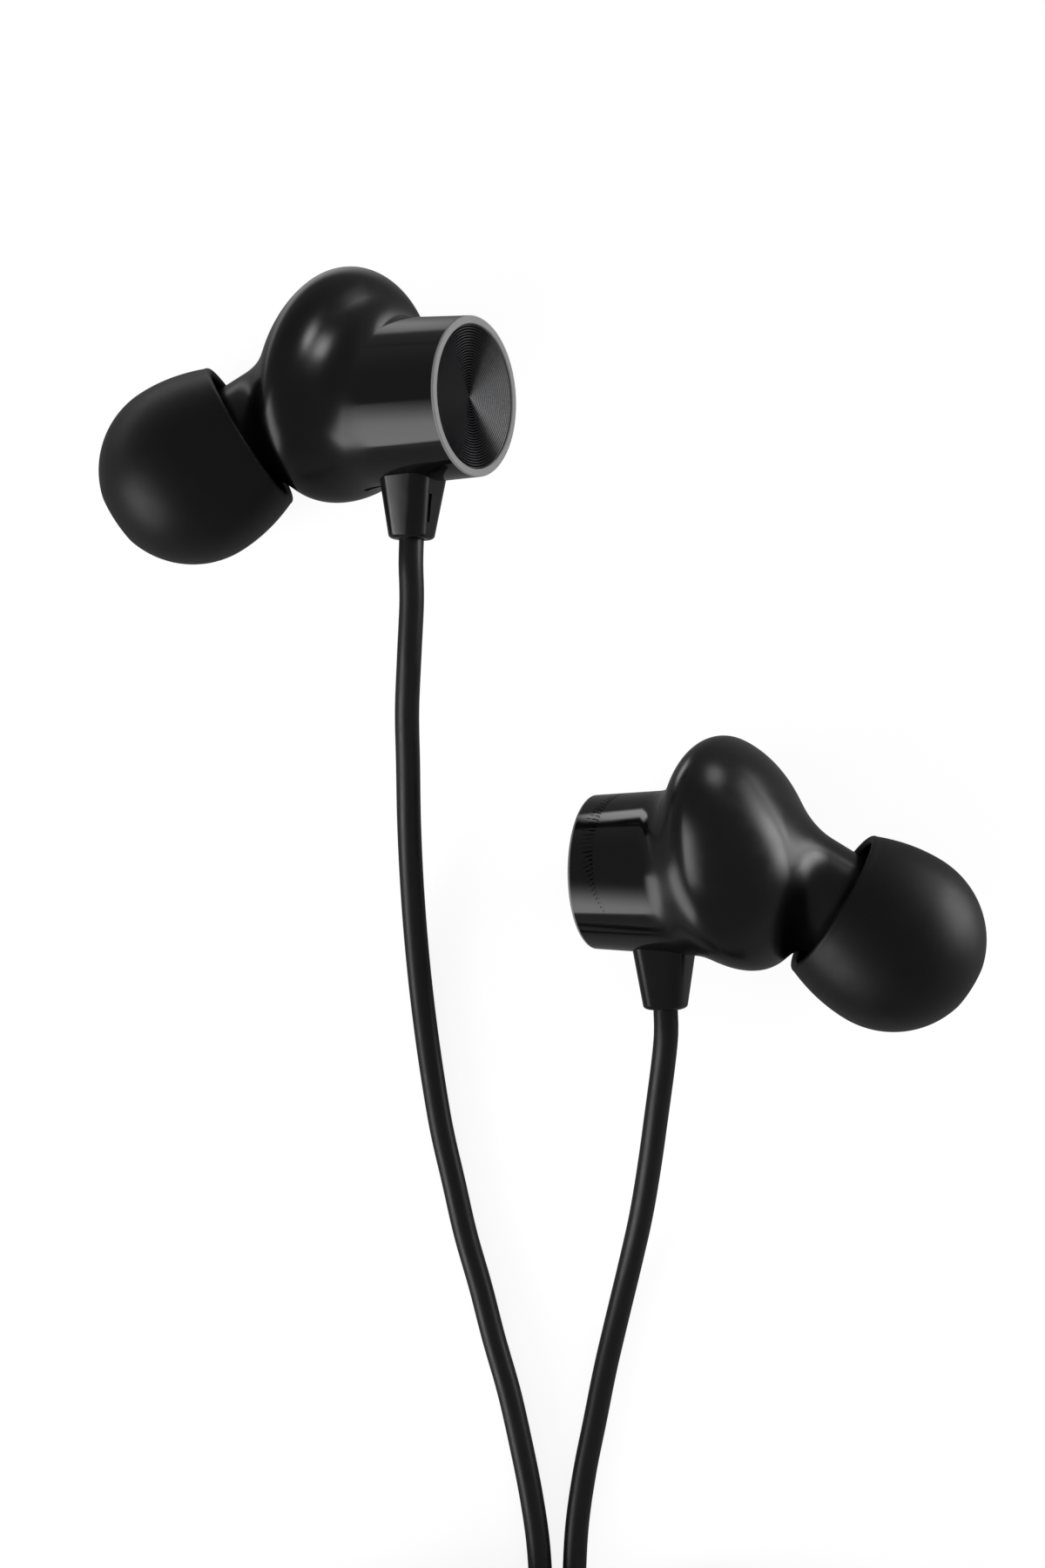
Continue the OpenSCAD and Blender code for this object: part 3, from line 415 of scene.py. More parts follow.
def surface(name, dark, light, rough, metallic=0.0, specular=0.5, grain=GRAIN, depth=0.01, strength=0.15):
    """Surface with patchy colour and roughness and a fine grain."""
    mat, tree, shader = new_material(name)
    shader.inputs["Metallic"].default_value = metallic
    shader.inputs["Specular IOR Level"].default_value = specular
    patches = object_noise(tree, PATCHES)
    tint(tree, patches, dark, light, shader.inputs["Base Color"])
    vary(tree, patches, *rough, shader.inputs["Roughness"])
    bump(tree, object_noise(tree, grain), depth, strength, shader)
    return mat


def gloss_shell(name):
    """Gloss black, polished along the barrel and softer over the bulb."""
    mat, tree, shader = new_material(name)
    shader.inputs["Specular IOR Level"].default_value = 0.5
    patches = object_noise(tree, PATCHES)
    tint(tree, patches, SHELL_DARK, [SHELL_LIGHTER * v for v in SHELL_DARK], shader.inputs["Base Color"])
    own = tree.nodes.new("ShaderNodeAttribute")
    own.attribute_name = "own"
    polish = ramp(tree, axes(tree, own.outputs["Vector"])["X"], *POLISH_X, *POLISH_ROUGH)
    worn = ramp(tree, patches, *NOISE_RANGE, *POLISH_SPREAD)
    tree.links.new(product(tree, polish, worn), shader.inputs["Roughness"])
    bump(tree, object_noise(tree, GRAIN), depth=0.002, strength=0.04, shader=shader)
    return mat


def turned_metal(name):
    """Dark disc turned in fine rings round the piece's own z, with painted shade in the grooves between the
    rings.
    """
    mat, tree, shader = new_material(name)
    shader.inputs["Metallic"].default_value = 1
    shader.inputs["Anisotropic"].default_value = 0.8
    shader.inputs["Anisotropic Rotation"].default_value = 0.25
    shader.inputs["Specular Tint"].default_value = DISC_EDGE_TINT
    place = axes(tree, tree.nodes.new("ShaderNodeTexCoord").outputs["Object"])
    flat = tree.nodes.new("ShaderNodeCombineXYZ")
    tree.links.new(place["X"], flat.inputs["X"])
    tree.links.new(place["Y"], flat.inputs["Y"])
    length = tree.nodes.new("ShaderNodeVectorMath")
    length.operation = "LENGTH"
    tree.links.new(flat.outputs[0], length.inputs[0])
    radius = length.outputs["Value"]
    wave = math_node(tree, "SINE", product(tree, radius, 2 * math.pi / (DISC_RING_STEP * MM)))
    rings = ramp(tree, wave, -1, 1, kind="LINEAR")
    # Painted shade: the colour darkens in the grooves and lightens on the crests, in step with the rings'
    # bump
    tint(tree, rings, DISC_DARK, DISC_LIGHT, shader.inputs["Base Color"])
    vary(tree, object_noise(tree, DISC_PATCHES), *DISC_ROUGH, shader.inputs["Roughness"])
    cone = product(tree, radius, DISC_SLOPE / MM)
    height = math_node(tree, "ADD", product(tree, rings, DISC_RING_DEPTH), cone)
    bump(tree, height, depth=1, strength=1, shader=shader)
    tangent = tree.nodes.new("ShaderNodeTangent")
    tangent.direction_type = "RADIAL"
    tangent.axis = "Z"
    tree.links.new(tangent.outputs[0], shader.inputs["Tangent"])
    return mat


SURFACES = {
    "tip_silicone": dict(dark=(0.004, 0.004, 0.0042), light=(0.006, 0.006, 0.0063), rough=(0.42, 0.48),
                         specular=0.4, grain=14000, strength=0.2),
    "trim_grey": dict(dark=(0.4, 0.4, 0.405), light=(0.46, 0.46, 0.465), rough=(0.5, 0.58),
                      grain=20000, depth=0.006, strength=0.2),
    "boot_black": dict(dark=(0.006, 0.006, 0.0063), light=(0.009, 0.009, 0.0094), rough=(0.2, 0.26),
                       grain=12000, depth=0.006),
    "cord_jacket": dict(dark=(0.008, 0.008, 0.0078), light=(0.012, 0.012, 0.0115), rough=(0.34, 0.42),
                        grain=7000, strength=0.2),
    "tie_strap": dict(dark=(0.018, 0.018, 0.019), light=(0.035, 0.035, 0.037), rough=(0.75, 0.9),
                      grain=5000, depth=0.08, strength=0.6),
    "mesh_steel": dict(dark=(0.3, 0.3, 0.31), light=(0.45, 0.45, 0.46), rough=(0.25, 0.4),
                       metallic=1.0, grain=16000),
    "gasket_grey": dict(dark=(0.1, 0.1, 0.1), light=(0.17, 0.17, 0.17), rough=(0.8, 0.95), depth=0.05),
    "driver_steel": dict(dark=(0.45, 0.45, 0.46), light=(0.55, 0.55, 0.56), rough=(0.2, 0.32), metallic=1.0),
    "magnet_nickel": dict(dark=(0.5, 0.49, 0.47), light=(0.6, 0.59, 0.57), rough=(0.1, 0.2), metallic=1.0),
    "frame_grey": dict(dark=(0.14, 0.14, 0.15), light=(0.2, 0.2, 0.21), rough=(0.45, 0.6)),
    "diaphragm_film": dict(dark=(0.5, 0.4, 0.22), light=(0.6, 0.5, 0.3), rough=(0.15, 0.25)),
    "coil_copper": dict(dark=(0.5, 0.22, 0.1), light=(0.65, 0.32, 0.16), rough=(0.25, 0.35),
                        metallic=1.0, grain=20000, depth=0.02, strength=0.5),
    "damper_felt": dict(dark=(0.6, 0.6, 0.55), light=(0.75, 0.75, 0.7), rough=(0.9, 1.0),
                        grain=16000, depth=0.06, strength=0.8),
    "board_green": dict(dark=(0.02, 0.16, 0.07), light=(0.04, 0.22, 0.1), rough=(0.3, 0.45)),
    "wire_red": dict(dark=(0.3, 0.04, 0.03), light=(0.4, 0.07, 0.05), rough=(0.25, 0.4)),
    "plug_gold": dict(dark=(0.72, 0.52, 0.22), light=(0.8, 0.6, 0.28), rough=(0.12, 0.2), metallic=1.0),
    "insulator_black": dict(dark=(0.01, 0.01, 0.01), light=(0.018, 0.018, 0.018), rough=(0.45, 0.6)),
}


def make_materials():
    made = {name: surface(name, **row) for name, row in SURFACES.items()}
    made["gloss_shell"] = gloss_shell("gloss_shell")
    made["turned_metal"] = turned_metal("turned_metal")
    return made


# Mesh helpers

def make_piece(name, points, faces, matrix, body, slot, replaced, sharp=40, normals=None, placed=True):
    """Piece whose points are placed by the matrix, or whose object is where placed is false.

    The points' own places stay with the mesh as an attribute.
    """
    own = np.asarray(points) * MM
    turn = np.array(matrix.to_3x3())
    at = own @ turn.T + np.array(matrix.translation) if placed else own
    mesh = bpy.data.meshes.new(name)
    mesh.from_pydata(at.tolist(), [], [list(f) for f in faces])
    mesh.update()
    mesh.attributes.new("own", "FLOAT_VECTOR", "POINT").data.foreach_set("vector", own.ravel())
    mesh.shade_smooth()
    if normals is None:
        mesh.set_sharp_from_angle(angle=math.radians(sharp))
    else:
        mesh.normals_split_custom_set_from_vertices([tuple(n) for n in np.asarray(normals) @ turn.T])
    obj = bpy.data.objects.new(name, mesh)
    bpy.context.collection.objects.link(obj)
    if not placed:
        obj.matrix_world = matrix
    mesh.materials.append(MATERIALS[slot])
    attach(obj, body)
    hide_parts(*replaced)
    return obj


def grid(rows, count, first=0, skip=()):
    """Faces between closed rings of so many points.

    They face outward where each ring runs anticlockwise seen against the path.
    """
    faces = []
    for i in range(rows - 1):
        for j in range(count):
            if (i, j) not in skip:
                k = (j + 1) % count
                a = first + i * count
                faces.append((a + j, a + k, a + count + k, a + count + j))
    return faces


def lathe(profile, count):
    """Points and faces of a profile of (radius, height) turned round z.

    The faces point outward where the profile climbs outside.
    """
    angles = np.arange(count) * 2 * math.pi / count
    points = [(r * math.cos(a), r * math.sin(a), z) for r, z in profile for a in angles]
    return points, grid(len(profile), count)


def arc(middle, radius, start, end, steps):
    return [
        (middle[0] + radius * math.cos(math.radians(a)), middle[1] + radius * math.sin(math.radians(a)))
        for a in np.linspace(start, end, steps + 1)
    ]


def round_corners(count):
    """Signs of a rectangle's corners, anticlockwise, with the ways to so many points round each."""
    for corner, (sx, sy) in enumerate(((1, 1), (-1, 1), (-1, -1), (1, -1))):
        for a in np.radians(np.linspace(90 * corner, 90 * corner + 90, count)):
            yield sx, sy, math.cos(a), math.sin(a)


# Smooth body of a bud

# Points round the shells, and round the turned pieces
AROUND = 144
FINE_AROUND = 160
# Length past any way from the body's middle to its surface
BODY_REACH = 14.0
# Smallest slope to divide by
LEAST_SLOPE = 1e-3
# Steps that find an edge
HALVINGS = 36


def smooth_min(a, b, reach):
    share = np.clip(0.5 + (b - a) / (2 * reach), 0, 1)
    return b + (a - b) * share - reach * share * (1 - share)


def barrel_radius(x):
    return BARREL_R + BARREL_TAPER * np.clip(BARREL_LEN - x, 0, BARREL_LEN)


def bulb_level(p):
    """Egg cut by a domed rear face, with a rounded rim between them."""
    q = (p - BULB_AT) @ BULB_SPIN.T
    scaled = q / BULB_HALF
    size = np.linalg.norm(scaled, axis=-1)
    egg = size * (size - 1) / np.maximum(np.linalg.norm(scaled / BULB_HALF, axis=-1), LEAST_SLOPE)
    rear = np.linalg.norm(q - np.array([BULB_REAR - BULB_REAR_R, 0, 0]), axis=-1) - BULB_REAR_R
    return -smooth_min(-egg, -rear, BULB_RIM)


def body_level(p):
    """Level that is negative inside the body, for an array of points."""
    x, y, z = np.moveaxis(p, -1, 0)
    barrel = np.sqrt(np.minimum(x - BARREL_ROUND_X, 0) ** 2 + y ** 2 + z ** 2) - barrel_radius(x)
    run = np.maximum((p - NOZZLE_AT) @ NOZZLE_DIR, 0)
    neck = np.linalg.norm(p - NOZZLE_AT - run[..., None] * NOZZLE_DIR, axis=-1) - NECK_R
    return smooth_min(smooth_min(barrel, bulb_level(p), BARREL_BLEND), neck, NECK_BLEND)


def body_normals(p):
    step = 0.02
    slope = [body_level(p + step * axis) - body_level(p - step * axis) for axis in np.eye(3)]
    slope = np.stack(slope, -1)
    return slope / np.linalg.norm(slope, axis=-1, keepdims=True)


def halve(inside, near, far):
    """Edge between the near values, which lie inside, and the far ones, by halving."""
    for _ in range(HALVINGS):
        half = (near + far) / 2
        kept = inside(half)
        near = np.where(kept, half, near)
        far = np.where(kept, far, half)
    return near


def body_rings(starts, headings, backs):
    """Rings of points where cones about the headings meet the body.

    Each cone opens backwards from square by its angle.
    """
    starts = np.asarray(starts, float)
    headings = headings / np.linalg.norm(headings, axis=1, keepdims=True)
    up = np.array([0, 1.0, 0]) - headings[:, 1:2] * headings
    up = up / np.linalg.norm(up, axis=1, keepdims=True)
    side = np.cross(headings, up)
    angles = np.arange(AROUND) * 2 * math.pi / AROUND
    across = up[:, None] * np.cos(angles)[:, None] + side[:, None] * np.sin(angles)[:, None]
    backs = np.radians(backs)[:, None, None]
    ways = across * np.cos(backs) - headings[:, None] * np.sin(backs)
    reach = halve(lambda d: body_level(starts[:, None] + d[..., None] * ways) < 0,
                  np.zeros(ways.shape[:2]), np.full(ways.shape[:2], BODY_REACH))
    return starts[:, None] + reach[..., None] * ways


def underside(x, z):
    """Height of the body's lower surface."""
    inside = np.full(x.shape, -1.0)
    outside = np.full(x.shape, -BOOT_DROP)
    return halve(lambda y: body_level(np.stack([x, y, z], -1)) < 0, inside, outside)


def cut_vent(rings):
    """Moves the ring points round the vent slot on to its outline, and names the faces inside it."""
    bottom = AROUND // 2
    middle = rings[:, bottom]
    first = int(np.argmin(np.abs(middle[:, 0] - VENT_X[1])))
    last = int(np.argmin(np.abs(middle[:, 0] - VENT_X[0])))
    row = rings[(first + last) // 2]
    span = 12
    near = np.arange(bottom - span, bottom + span + 1)
    left = near[int(np.argmin(np.abs(row[near, 2] - VENT_HALF_W)))]
    right = near[int(np.argmin(np.abs(row[near, 2] + VENT_HALF_W)))]
    low, high = min(left, right), max(left, right)
    side = VENT_HALF_W if low == left else -VENT_HALF_W
    reach = 8
    moved = rings.copy()
    for i in range(first - reach, last + reach + 1):
        for j in range(low - reach, high + reach + 1):
            i_edge = min(max(i, first), last)
            j_edge = min(max(j, low), high)
            x = VENT_X[1] + (VENT_X[0] - VENT_X[1]) * (i_edge - first) / (last - first)
            z = side - 2 * side * (j_edge - low) / (high - low)
            share = 1 - max(abs(i - i_edge), abs(j - j_edge)) / (reach + 1)
            moved[i, j, 0] += share * (x - rings[i_edge, j_edge, 0])
            moved[i, j, 2] += share * (z - rings[i_edge, j_edge, 2])
    block = np.s_[first - reach:last + reach + 1, low - reach:high + reach + 1]
    moved[block][..., 1] = underside(moved[block][..., 0], moved[block][..., 2])
    edge = [first * AROUND + j for j in range(low, high + 1)]
    edge += [i * AROUND + high for i in range(first + 1, last + 1)]
    edge += [last * AROUND + j for j in range(high - 1, low - 1, -1)]
    edge += [i * AROUND + low for i in range(last - 1, first, -1)]
    hole = {(i, j) for i in range(first, last) for j in range(low, high)}
    return moved, edge, hole


def rear_shell(side):
    cone = 38
    barrel_rows = 13
    fan_rows = 72
    inset = 0.9
    share = np.linspace(1, 0, barrel_rows + 1)[:-1, None]
    rear = np.array([RING_FACE[0], 0, 0])
    starts = SEAM_MIDDLE + (rear - SEAM_MIDDLE) * share
    headings = SEAM_FORWARD + (np.array([-1.0, 0, 0]) - SEAM_FORWARD) * share
    fan = np.linspace(cone, 0, fan_rows)
    starts = np.concatenate([starts, np.tile(SEAM_MIDDLE, (fan_rows, 1))])
    headings = np.concatenate([headings, np.tile(SEAM_FORWARD, (fan_rows, 1))])
    rings = body_rings(starts, headings, np.concatenate([cone * (1 - share[:, 0]), fan]))
    rings, edge, hole = cut_vent(rings)
    points = rings.reshape(-1, 3)
    normals = body_normals(points)
    faces = grid(len(rings), AROUND, skip=hole)
    # Walls of the vent
    rim = points[edge]
    start = len(points)
    count = len(edge)
    points = np.concatenate([points, rim, rim + np.array([0, VENT_WALL, 0])])
    normals = np.concatenate([normals, np.zeros((2 * count, 3))])
    faces += grid(2, count, start)
    # Rear end under the trim ring
    start = len(points)
    end = rings[0]
    points = np.concatenate([points, end * np.array([1, inset, inset]), end])
    normals = np.concatenate([normals, np.tile([1.0, 0, 0], (2 * AROUND, 1))])
    faces += grid(2, AROUND, start)
    return make_piece(f"{side}_rear_shell_gloss", points, faces, bud_matrix(side), "earphones",
                      "gloss_shell", [f"{side}_rear_shell"], normals=normals)


def front_shell(side):
    rows = 90
    share = np.linspace(0, 1, rows)[:, None]
    starts = SEAM_MIDDLE + (SHOULDER - SEAM_MIDDLE) * share
    headings = SEAM_FORWARD + (NOZZLE_DIR - SEAM_FORWARD) * share
    points = body_rings(starts, headings, np.zeros(rows)).reshape(-1, 3)
    normals = body_normals(points)
    faces = grid(rows, AROUND)
    # Shoulder, nozzle tube with its lip, and the sound bore
    edge = 0.1
    fillet = 0.15
    lip_flat = 0.4
    bore_start = NECK_LEN - 2
    lip_end = NOZZLE_END - LIP_BACK
    lip_start = lip_end - LIP_LEN
    mesh_seat = NOZZLE_END - MESH_T
    profile = [(NECK_R, NECK_LEN), (NOZZLE_R + fillet, NECK_LEN), (NOZZLE_R, NECK_LEN + fillet)]
    profile += [(NOZZLE_R, lip_start - edge), (LIP_R, lip_start), (LIP_R, lip_start + lip_flat)]
    profile += [(NOZZLE_R, lip_end + edge), (NOZZLE_R, NOZZLE_END - edge), (NOZZLE_R - edge, NOZZLE_END)]
    profile += [(MESH_R, NOZZLE_END), (MESH_R, mesh_seat)]
    profile += [(NOZZLE_BORE_R, mesh_seat), (NOZZLE_BORE_R, bore_start)]
    turned, turned_faces = lathe(profile, AROUND)
    spin = np.array(axis_matrix(NOZZLE_AT, NOZZLE_DIR).to_3x3())
    turned = np.asarray(turned) @ spin.T + NOZZLE_AT
    start = len(points)
    points = np.concatenate([points, turned])
    normals = np.concatenate([normals, np.zeros((len(turned), 3))])
    faces += [tuple(start + v for v in f) for f in turned_faces]
    return make_piece(f"{side}_front_shell_gloss", points, faces, bud_matrix(side), "earphones",
                      "gloss_shell", [f"{side}_front_shell"], normals=normals)


def tip_radius(along):
    return TIP_R - (TIP_R - TIP_RIM_R) * ((TIP_MIDDLE - along) / (TIP_MIDDLE - TIP_RIM)) ** 2


def ear_tip(side):
    flat = math.degrees(math.asin(TIP_FLAT_R / TIP_R))
    edge = 0.25
    chamfer = 0.2
    flat_edge = 0.12
    past_flat = 1.5
    hollow_r = TIP_R - TIP_WALL
    sleeve_start = NECK_LEN + 0.2
    stop = NOZZLE_END + 0.1
    dome_middle = (0, TIP_MIDDLE)
    # From the sleeve's inside, round the open rim, over the dome and into the sound hole
    profile = [(TIP_HOLE_R, stop), (TIP_BORE_R, stop), (TIP_BORE_R, sleeve_start + chamfer)]
    profile += [(TIP_BORE_R + chamfer, sleeve_start), (TIP_SLEEVE_R - chamfer, sleeve_start)]
    profile += [(TIP_SLEEVE_R, sleeve_start + chamfer)]
    # Fillet from the sleeve to the inside of the dome
    fillet = 0.4
    root = math.degrees(math.asin((TIP_SLEEVE_R + fillet) / hollow_r))
    top = TIP_MIDDLE + hollow_r * math.cos(math.radians(root))
    profile += [(TIP_SLEEVE_R, top - 0.6), (TIP_SLEEVE_R + 0.1, top - 0.25)]
    profile += arc(dome_middle, hollow_r, 90 - root, 0, 15)
    skirt = np.linspace(TIP_MIDDLE, TIP_RIM + TIP_WALL / 2, 14)[1:]
    profile += [(tip_radius(t) - TIP_WALL, t) for t in skirt]
    lip_middle = (tip_radius(skirt[-1]) - TIP_WALL / 2, skirt[-1])
    profile += arc(lip_middle, TIP_WALL / 2, 180, 360, 10)[1:-1]
    profile += [(tip_radius(t), t) for t in skirt[::-1]]
    profile += arc(dome_middle, TIP_R, 0, 90 - flat - past_flat, 39)
    profile += [(TIP_FLAT_R - flat_edge, TIP_FRONT), (TIP_HOLE_R + edge * 0.6, TIP_FRONT)]
    profile += [(TIP_HOLE_R, TIP_FRONT - edge), (TIP_HOLE_R, stop)]
    points, faces = lathe(profile, FINE_AROUND)
    matrix = bud_matrix(side) @ axis_matrix(NOZZLE_AT, NOZZLE_DIR)
    make_piece(f"{side}_ear_tip_soft", points, faces, matrix, f"{side}_ear_tip",
               "tip_silicone", [f"{side}_ear_tip"], sharp=50)


def trim_and_disc(side):
    matrix = bud_matrix(side) @ axis_matrix((0, 0, 0), (1, 0, 0))
    edge = 0.05
    start, face = RING_FACE
    ring = [(BARREL_R, start), (BARREL_R, face - edge), (BARREL_R - edge, face)]
    ring += [(RING_INNER_R + edge, face), (RING_INNER_R, face - edge), (RING_INNER_R, DISC_SEAT)]
    points, faces = lathe(ring, FINE_AROUND)
    make_piece(f"{side}_trim_ring_satin", points, faces, matrix, "earphones",
               "trim_grey", [f"{side}_trim_ring"])
    gap = 0.02
    disc_edge = 0.03
    rim = 0.1
    middle_r = 0.02
    disc_r = RING_INNER_R - gap
    disc = [(disc_r, DISC_SEAT), (disc_r, DISC_TOP - disc_edge), (disc_r - disc_edge, DISC_TOP)]
    disc += [(r, DISC_TOP - DISC_DISH * (1 - r / disc_r)) for r in np.linspace(disc_r - rim, middle_r, 24)]
    points, faces = lathe(disc, FINE_AROUND)
    return make_piece(f"{side}_end_disc_turned", points, faces, matrix, "earphones",
                      "turned_metal", [f"{side}_end_disc"], sharp=25, placed=False)


def boot(side):
    """Tapered rounded-square boot that meets the barrel, with upright grooves on its rear face."""
    taper = (BOOT_TOP_W - BOOT_END_W) / (BOOT_DROP - BOOT_TOP)
    groove_half_w = 0.15
    groove_depth = 0.25
    slope = 0.03
    sunk = 0.03
    groove_room = 0.7
    first_level = -5.0
    below_barrel = -5.5
    hole_gap = 0.05
    hole_depth = 0.5
    groove_h = 0.45 * (BOOT_DROP - BARREL_R)
    groove_top = -(BARREL_R + BOOT_DROP - groove_h) / 2
    groove_end = groove_top - groove_h
    # Outline points: shares of the half width of the flats, offsets, and whether they lie in a groove
    outline = [(sx, sz, BOOT_CORNER * c, BOOT_CORNER * s, 0) for sx, sz, c, s in round_corners(12)]
    outside = groove_half_w + slope
    for mark in GROOVES[side]:
        for z, deep in ((-outside, 0), (-groove_half_w, 1), (groove_half_w, 1), (outside, 0)):
            outline.append((1, 0, BOOT_CORNER, mark + z, deep))
    fx, fz, ox, oz, deep = np.array(outline).T

    def ring_at(y, inset=0.0, groove=0.0):
        half = (BOOT_TOP_W - taper * (-y - BOOT_TOP)) / 2 - BOOT_CORNER - inset
        squeeze = np.where(fz == 0, np.minimum(1, half / groove_room), 1)
        x = BOOT_X + fx * half + ox - groove * deep * groove_depth
        return np.stack([x, y, fz * half + oz * squeeze], -1)

    level = np.full(len(fx), first_level)
    for _ in range(3):
        ring = ring_at(level)
        level = underside(ring[:, 0], ring[:, 2]) + sunk
    rings = [ring_at(level)]
    end = -BOOT_DROP + BOOT_EDGE
    heights = [*np.linspace(below_barrel, end, 14), groove_top, groove_end]
    heights += [groove_top + slope, groove_end - slope]
    for y in sorted(heights, reverse=True):
        grooved = 1.0 if groove_end <= y <= groove_top else 0.0
        rings.append(ring_at(np.full(len(fx), y), groove=grooved))
    for a in np.radians(np.linspace(0, 90, 7)[1:]):
        ring = ring_at(np.full(len(fx), end), inset=BOOT_EDGE * (1 - math.cos(a)))
        ring[:, 1] = end - BOOT_EDGE * math.sin(a)
        rings.append(ring)
    # Hole that the cord leaves through
    ways = rings[-1][:, [0, 2]] - np.array([BOOT_X, 0])
    ways = ways / np.linalg.norm(ways, axis=1, keepdims=True) * (CORD_D / 2 + hole_gap)
    for depth in (0, hole_depth):
        rings.append(np.stack([BOOT_X + ways[:, 0], np.full(len(fx), -BOOT_DROP + depth), ways[:, 1]], -1))
    faces = grid(len(rings), len(fx))
    return make_piece(f"{side}_boot_moulded", np.concatenate(rings), faces, bud_matrix(side), "earphones",
                      "boot_black", [f"{side}_boot"], sharp=50)


# Cords

STRAND_STEP = 2.1
MAIN_STEP = 2.45
PAIR_LEVEL = 1.3
MAIN_LEVEL = 1.5
PAIR_INNER_R = 6.0
MAIN_INNER_R = 7.7
PAIR_TURNS = 3.75
MAIN_TURNS = 11.5
PAIR_OUTER_R = PAIR_INNER_R + 2 * STRAND_STEP * PAIR_TURNS / 2
MAIN_OUTER_R = MAIN_INNER_R + MAIN_STEP * MAIN_TURNS / 4
PAIR_MIDDLE = (-PAIR_OUTER_R, -79.5, PAIR_LEVEL)
SPLITTER_AT = (9.0, -64.6, MAIN_LEVEL)
SPLITTER_LEN = 10.0
MAIN_LEAD = 3.0
MAIN_MIDDLE = (SPLITTER_AT[0] + SPLITTER_LEN + MAIN_LEAD, SPLITTER_AT[1] - MAIN_OUTER_R, MAIN_LEVEL)
PLUG_AT = (7.0, -100.2, 3.5)
LEFT_POINTS = [
    (-8.4, 3, 8), (-8.6, -0.5, 7.1), (-8.8, -4, 5.8), (-8.8, -7.5, 4.4), (-8.8, -11, 3.1),
    (-8.7, -14.5, 2.1), (-8.5, -18, 1.4), (-8.2, -21.5, 1), (-7.8, -25, 0.8), (-7.3, -28.5, 0.8),
    (-6.7, -32, 0.8), (-5.9, -35.5, 0.8), (-5.1, -39, 0.8), (-4.1, -42.5, 0.8), (-3.2, -46, 0.8),
    (-2.2, -49.5, 0.8), (-1.4, -53, 0.8), (-0.7, -56.5, 0.8), (-0.2, -60, 0.8), (0, -64, 0.8),
    (0, -68, 1), (0, -72, 1.2), (0, -75.5, PAIR_LEVEL),
]
RIGHT_POINTS = [
    (7.9, -27, 5.8), (7.5, -30.5, 4.9), (7.1, -34, 3.7), (6.6, -37.5, 2.5), (5.9, -41, 1.5),
    (5.1, -44.5, 1), (4.3, -48, 0.8), (3.6, -51.5, 0.8), (2.9, -55, 0.8), (2.4, -58.5, 0.8),
    (2.2, -62, 0.8), (2.1, -66, 0.8), (2.1, -70, 1.1), (2.1, -75.5, PAIR_LEVEL),
]
TAIL_POINTS = [(-9, 2.1), (-6, 2.1), (-2.5, 2), (1, 1.7), (4, 1), (6, 0.5), (7.4, 0.2)]
MAIN_POINTS = [(15, -94.5, 8.5), (13.3, -95.6, 7.3), (11.9, -97.2, 5.8), (10.5, -99.1, 4.3)]


def smooth_line(points, spacing=0.5):
    """Points along a smooth curve through the given ones, in millimetres."""
    p = np.asarray(points, float)
    p = np.concatenate([[2 * p[0] - p[1]], p, [2 * p[-1] - p[-2]]])
    line = []
    for i in range(1, len(p) - 2):
        a, b, c, d = p[i - 1:i + 3]
        count = max(2, int(np.linalg.norm(c - b) / spacing))
        for t in np.arange(count) / count:
            line.append(0.5 * (2 * b + (c - a) * t + (2 * a - 5 * b + 4 * c - d) * t ** 2
                               + (3 * b - a - 3 * c + d) * t ** 3))
    line.append(p[-2])
    return np.array(line)


def coil_line(middle, first_angle, turns, layers, inner_r, pitch, lift, per_turn=24):
    """Points of a coil that winds clockwise.

    It spirals in and out by turns and climbs a layer where it reverses.
    """
    share = turns / layers
    count = math.ceil(turns * per_turn)
    line = []
    for i in range(count + 1):
        turn = turns * i / count
        layer = min(int(turn / share), layers - 1)
        along = turn - layer * share
        out = share - along if layer % 2 == 0 else along
        radius = inner_r + pitch * out
        climbed = sum(0.5 + 0.5 * math.sin(math.radians(min(max(360 * (turn - k * share), -90), 90)))
                      for k in range(1, layers))
        angle = math.radians(first_angle - 360 * turn)
        line.append((middle[0] + radius * math.cos(angle), middle[1] + radius * math.sin(angle),
                     middle[2] + lift * climbed))
    return line


def make_cord(name, points, diameter, replaced):
    line = smooth_line(points)
    data = bpy.data.curves.new(name, "CURVE")
    data.dimensions = "3D"
    data.bevel_depth = diameter / 2 * MM
    data.bevel_resolution = 8
    data.use_fill_caps = True
    spline = data.splines.new("POLY")
    spline.points.add(len(line) - 1)
    for point, co in zip(spline.points, line * MM):
        point.co = (*co, 1)
    spline.use_smooth = True
    cord = bpy.data.objects.new(name, data)
    bpy.context.collection.objects.link(cord)
    data.materials.append(MATERIALS["cord_jacket"])
    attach(cord, "earphones")
    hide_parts(*replaced)
    length = float(np.linalg.norm(np.diff(line, axis=0), axis=1).sum()) * MM
    return cord, length


def bud_cord(side, middle_points, strand):
    place = bud_matrix(side)
    start = place @ (Vector((BOOT_X, -BOOT_DROP, 0)) * MM) / MM
    second = place @ (Vector((BOOT_X, -BOOT_DROP - CORD_D, 0)) * MM) / MM
    y = PAIR_MIDDLE[1] + PAIR_OUTER_R + strand
    points = [tuple(start), tuple(second)] + middle_points
    points += coil_line(PAIR_MIDDLE, 0, PAIR_TURNS, 2, PAIR_INNER_R + strand, 2 * STRAND_STEP, STRAND_STEP)
    points += [(x, y, PAIR_LEVEL + rise) for x, rise in TAIL_POINTS]
    points += [(SPLITTER_AT[0], y, SPLITTER_AT[2])]
    cord, length = make_cord(f"{side}_cord_line", points, CORD_D, [f"{side}_cord", f"{side}_cord_coil"])
    return cord, tuple(start * MM), length


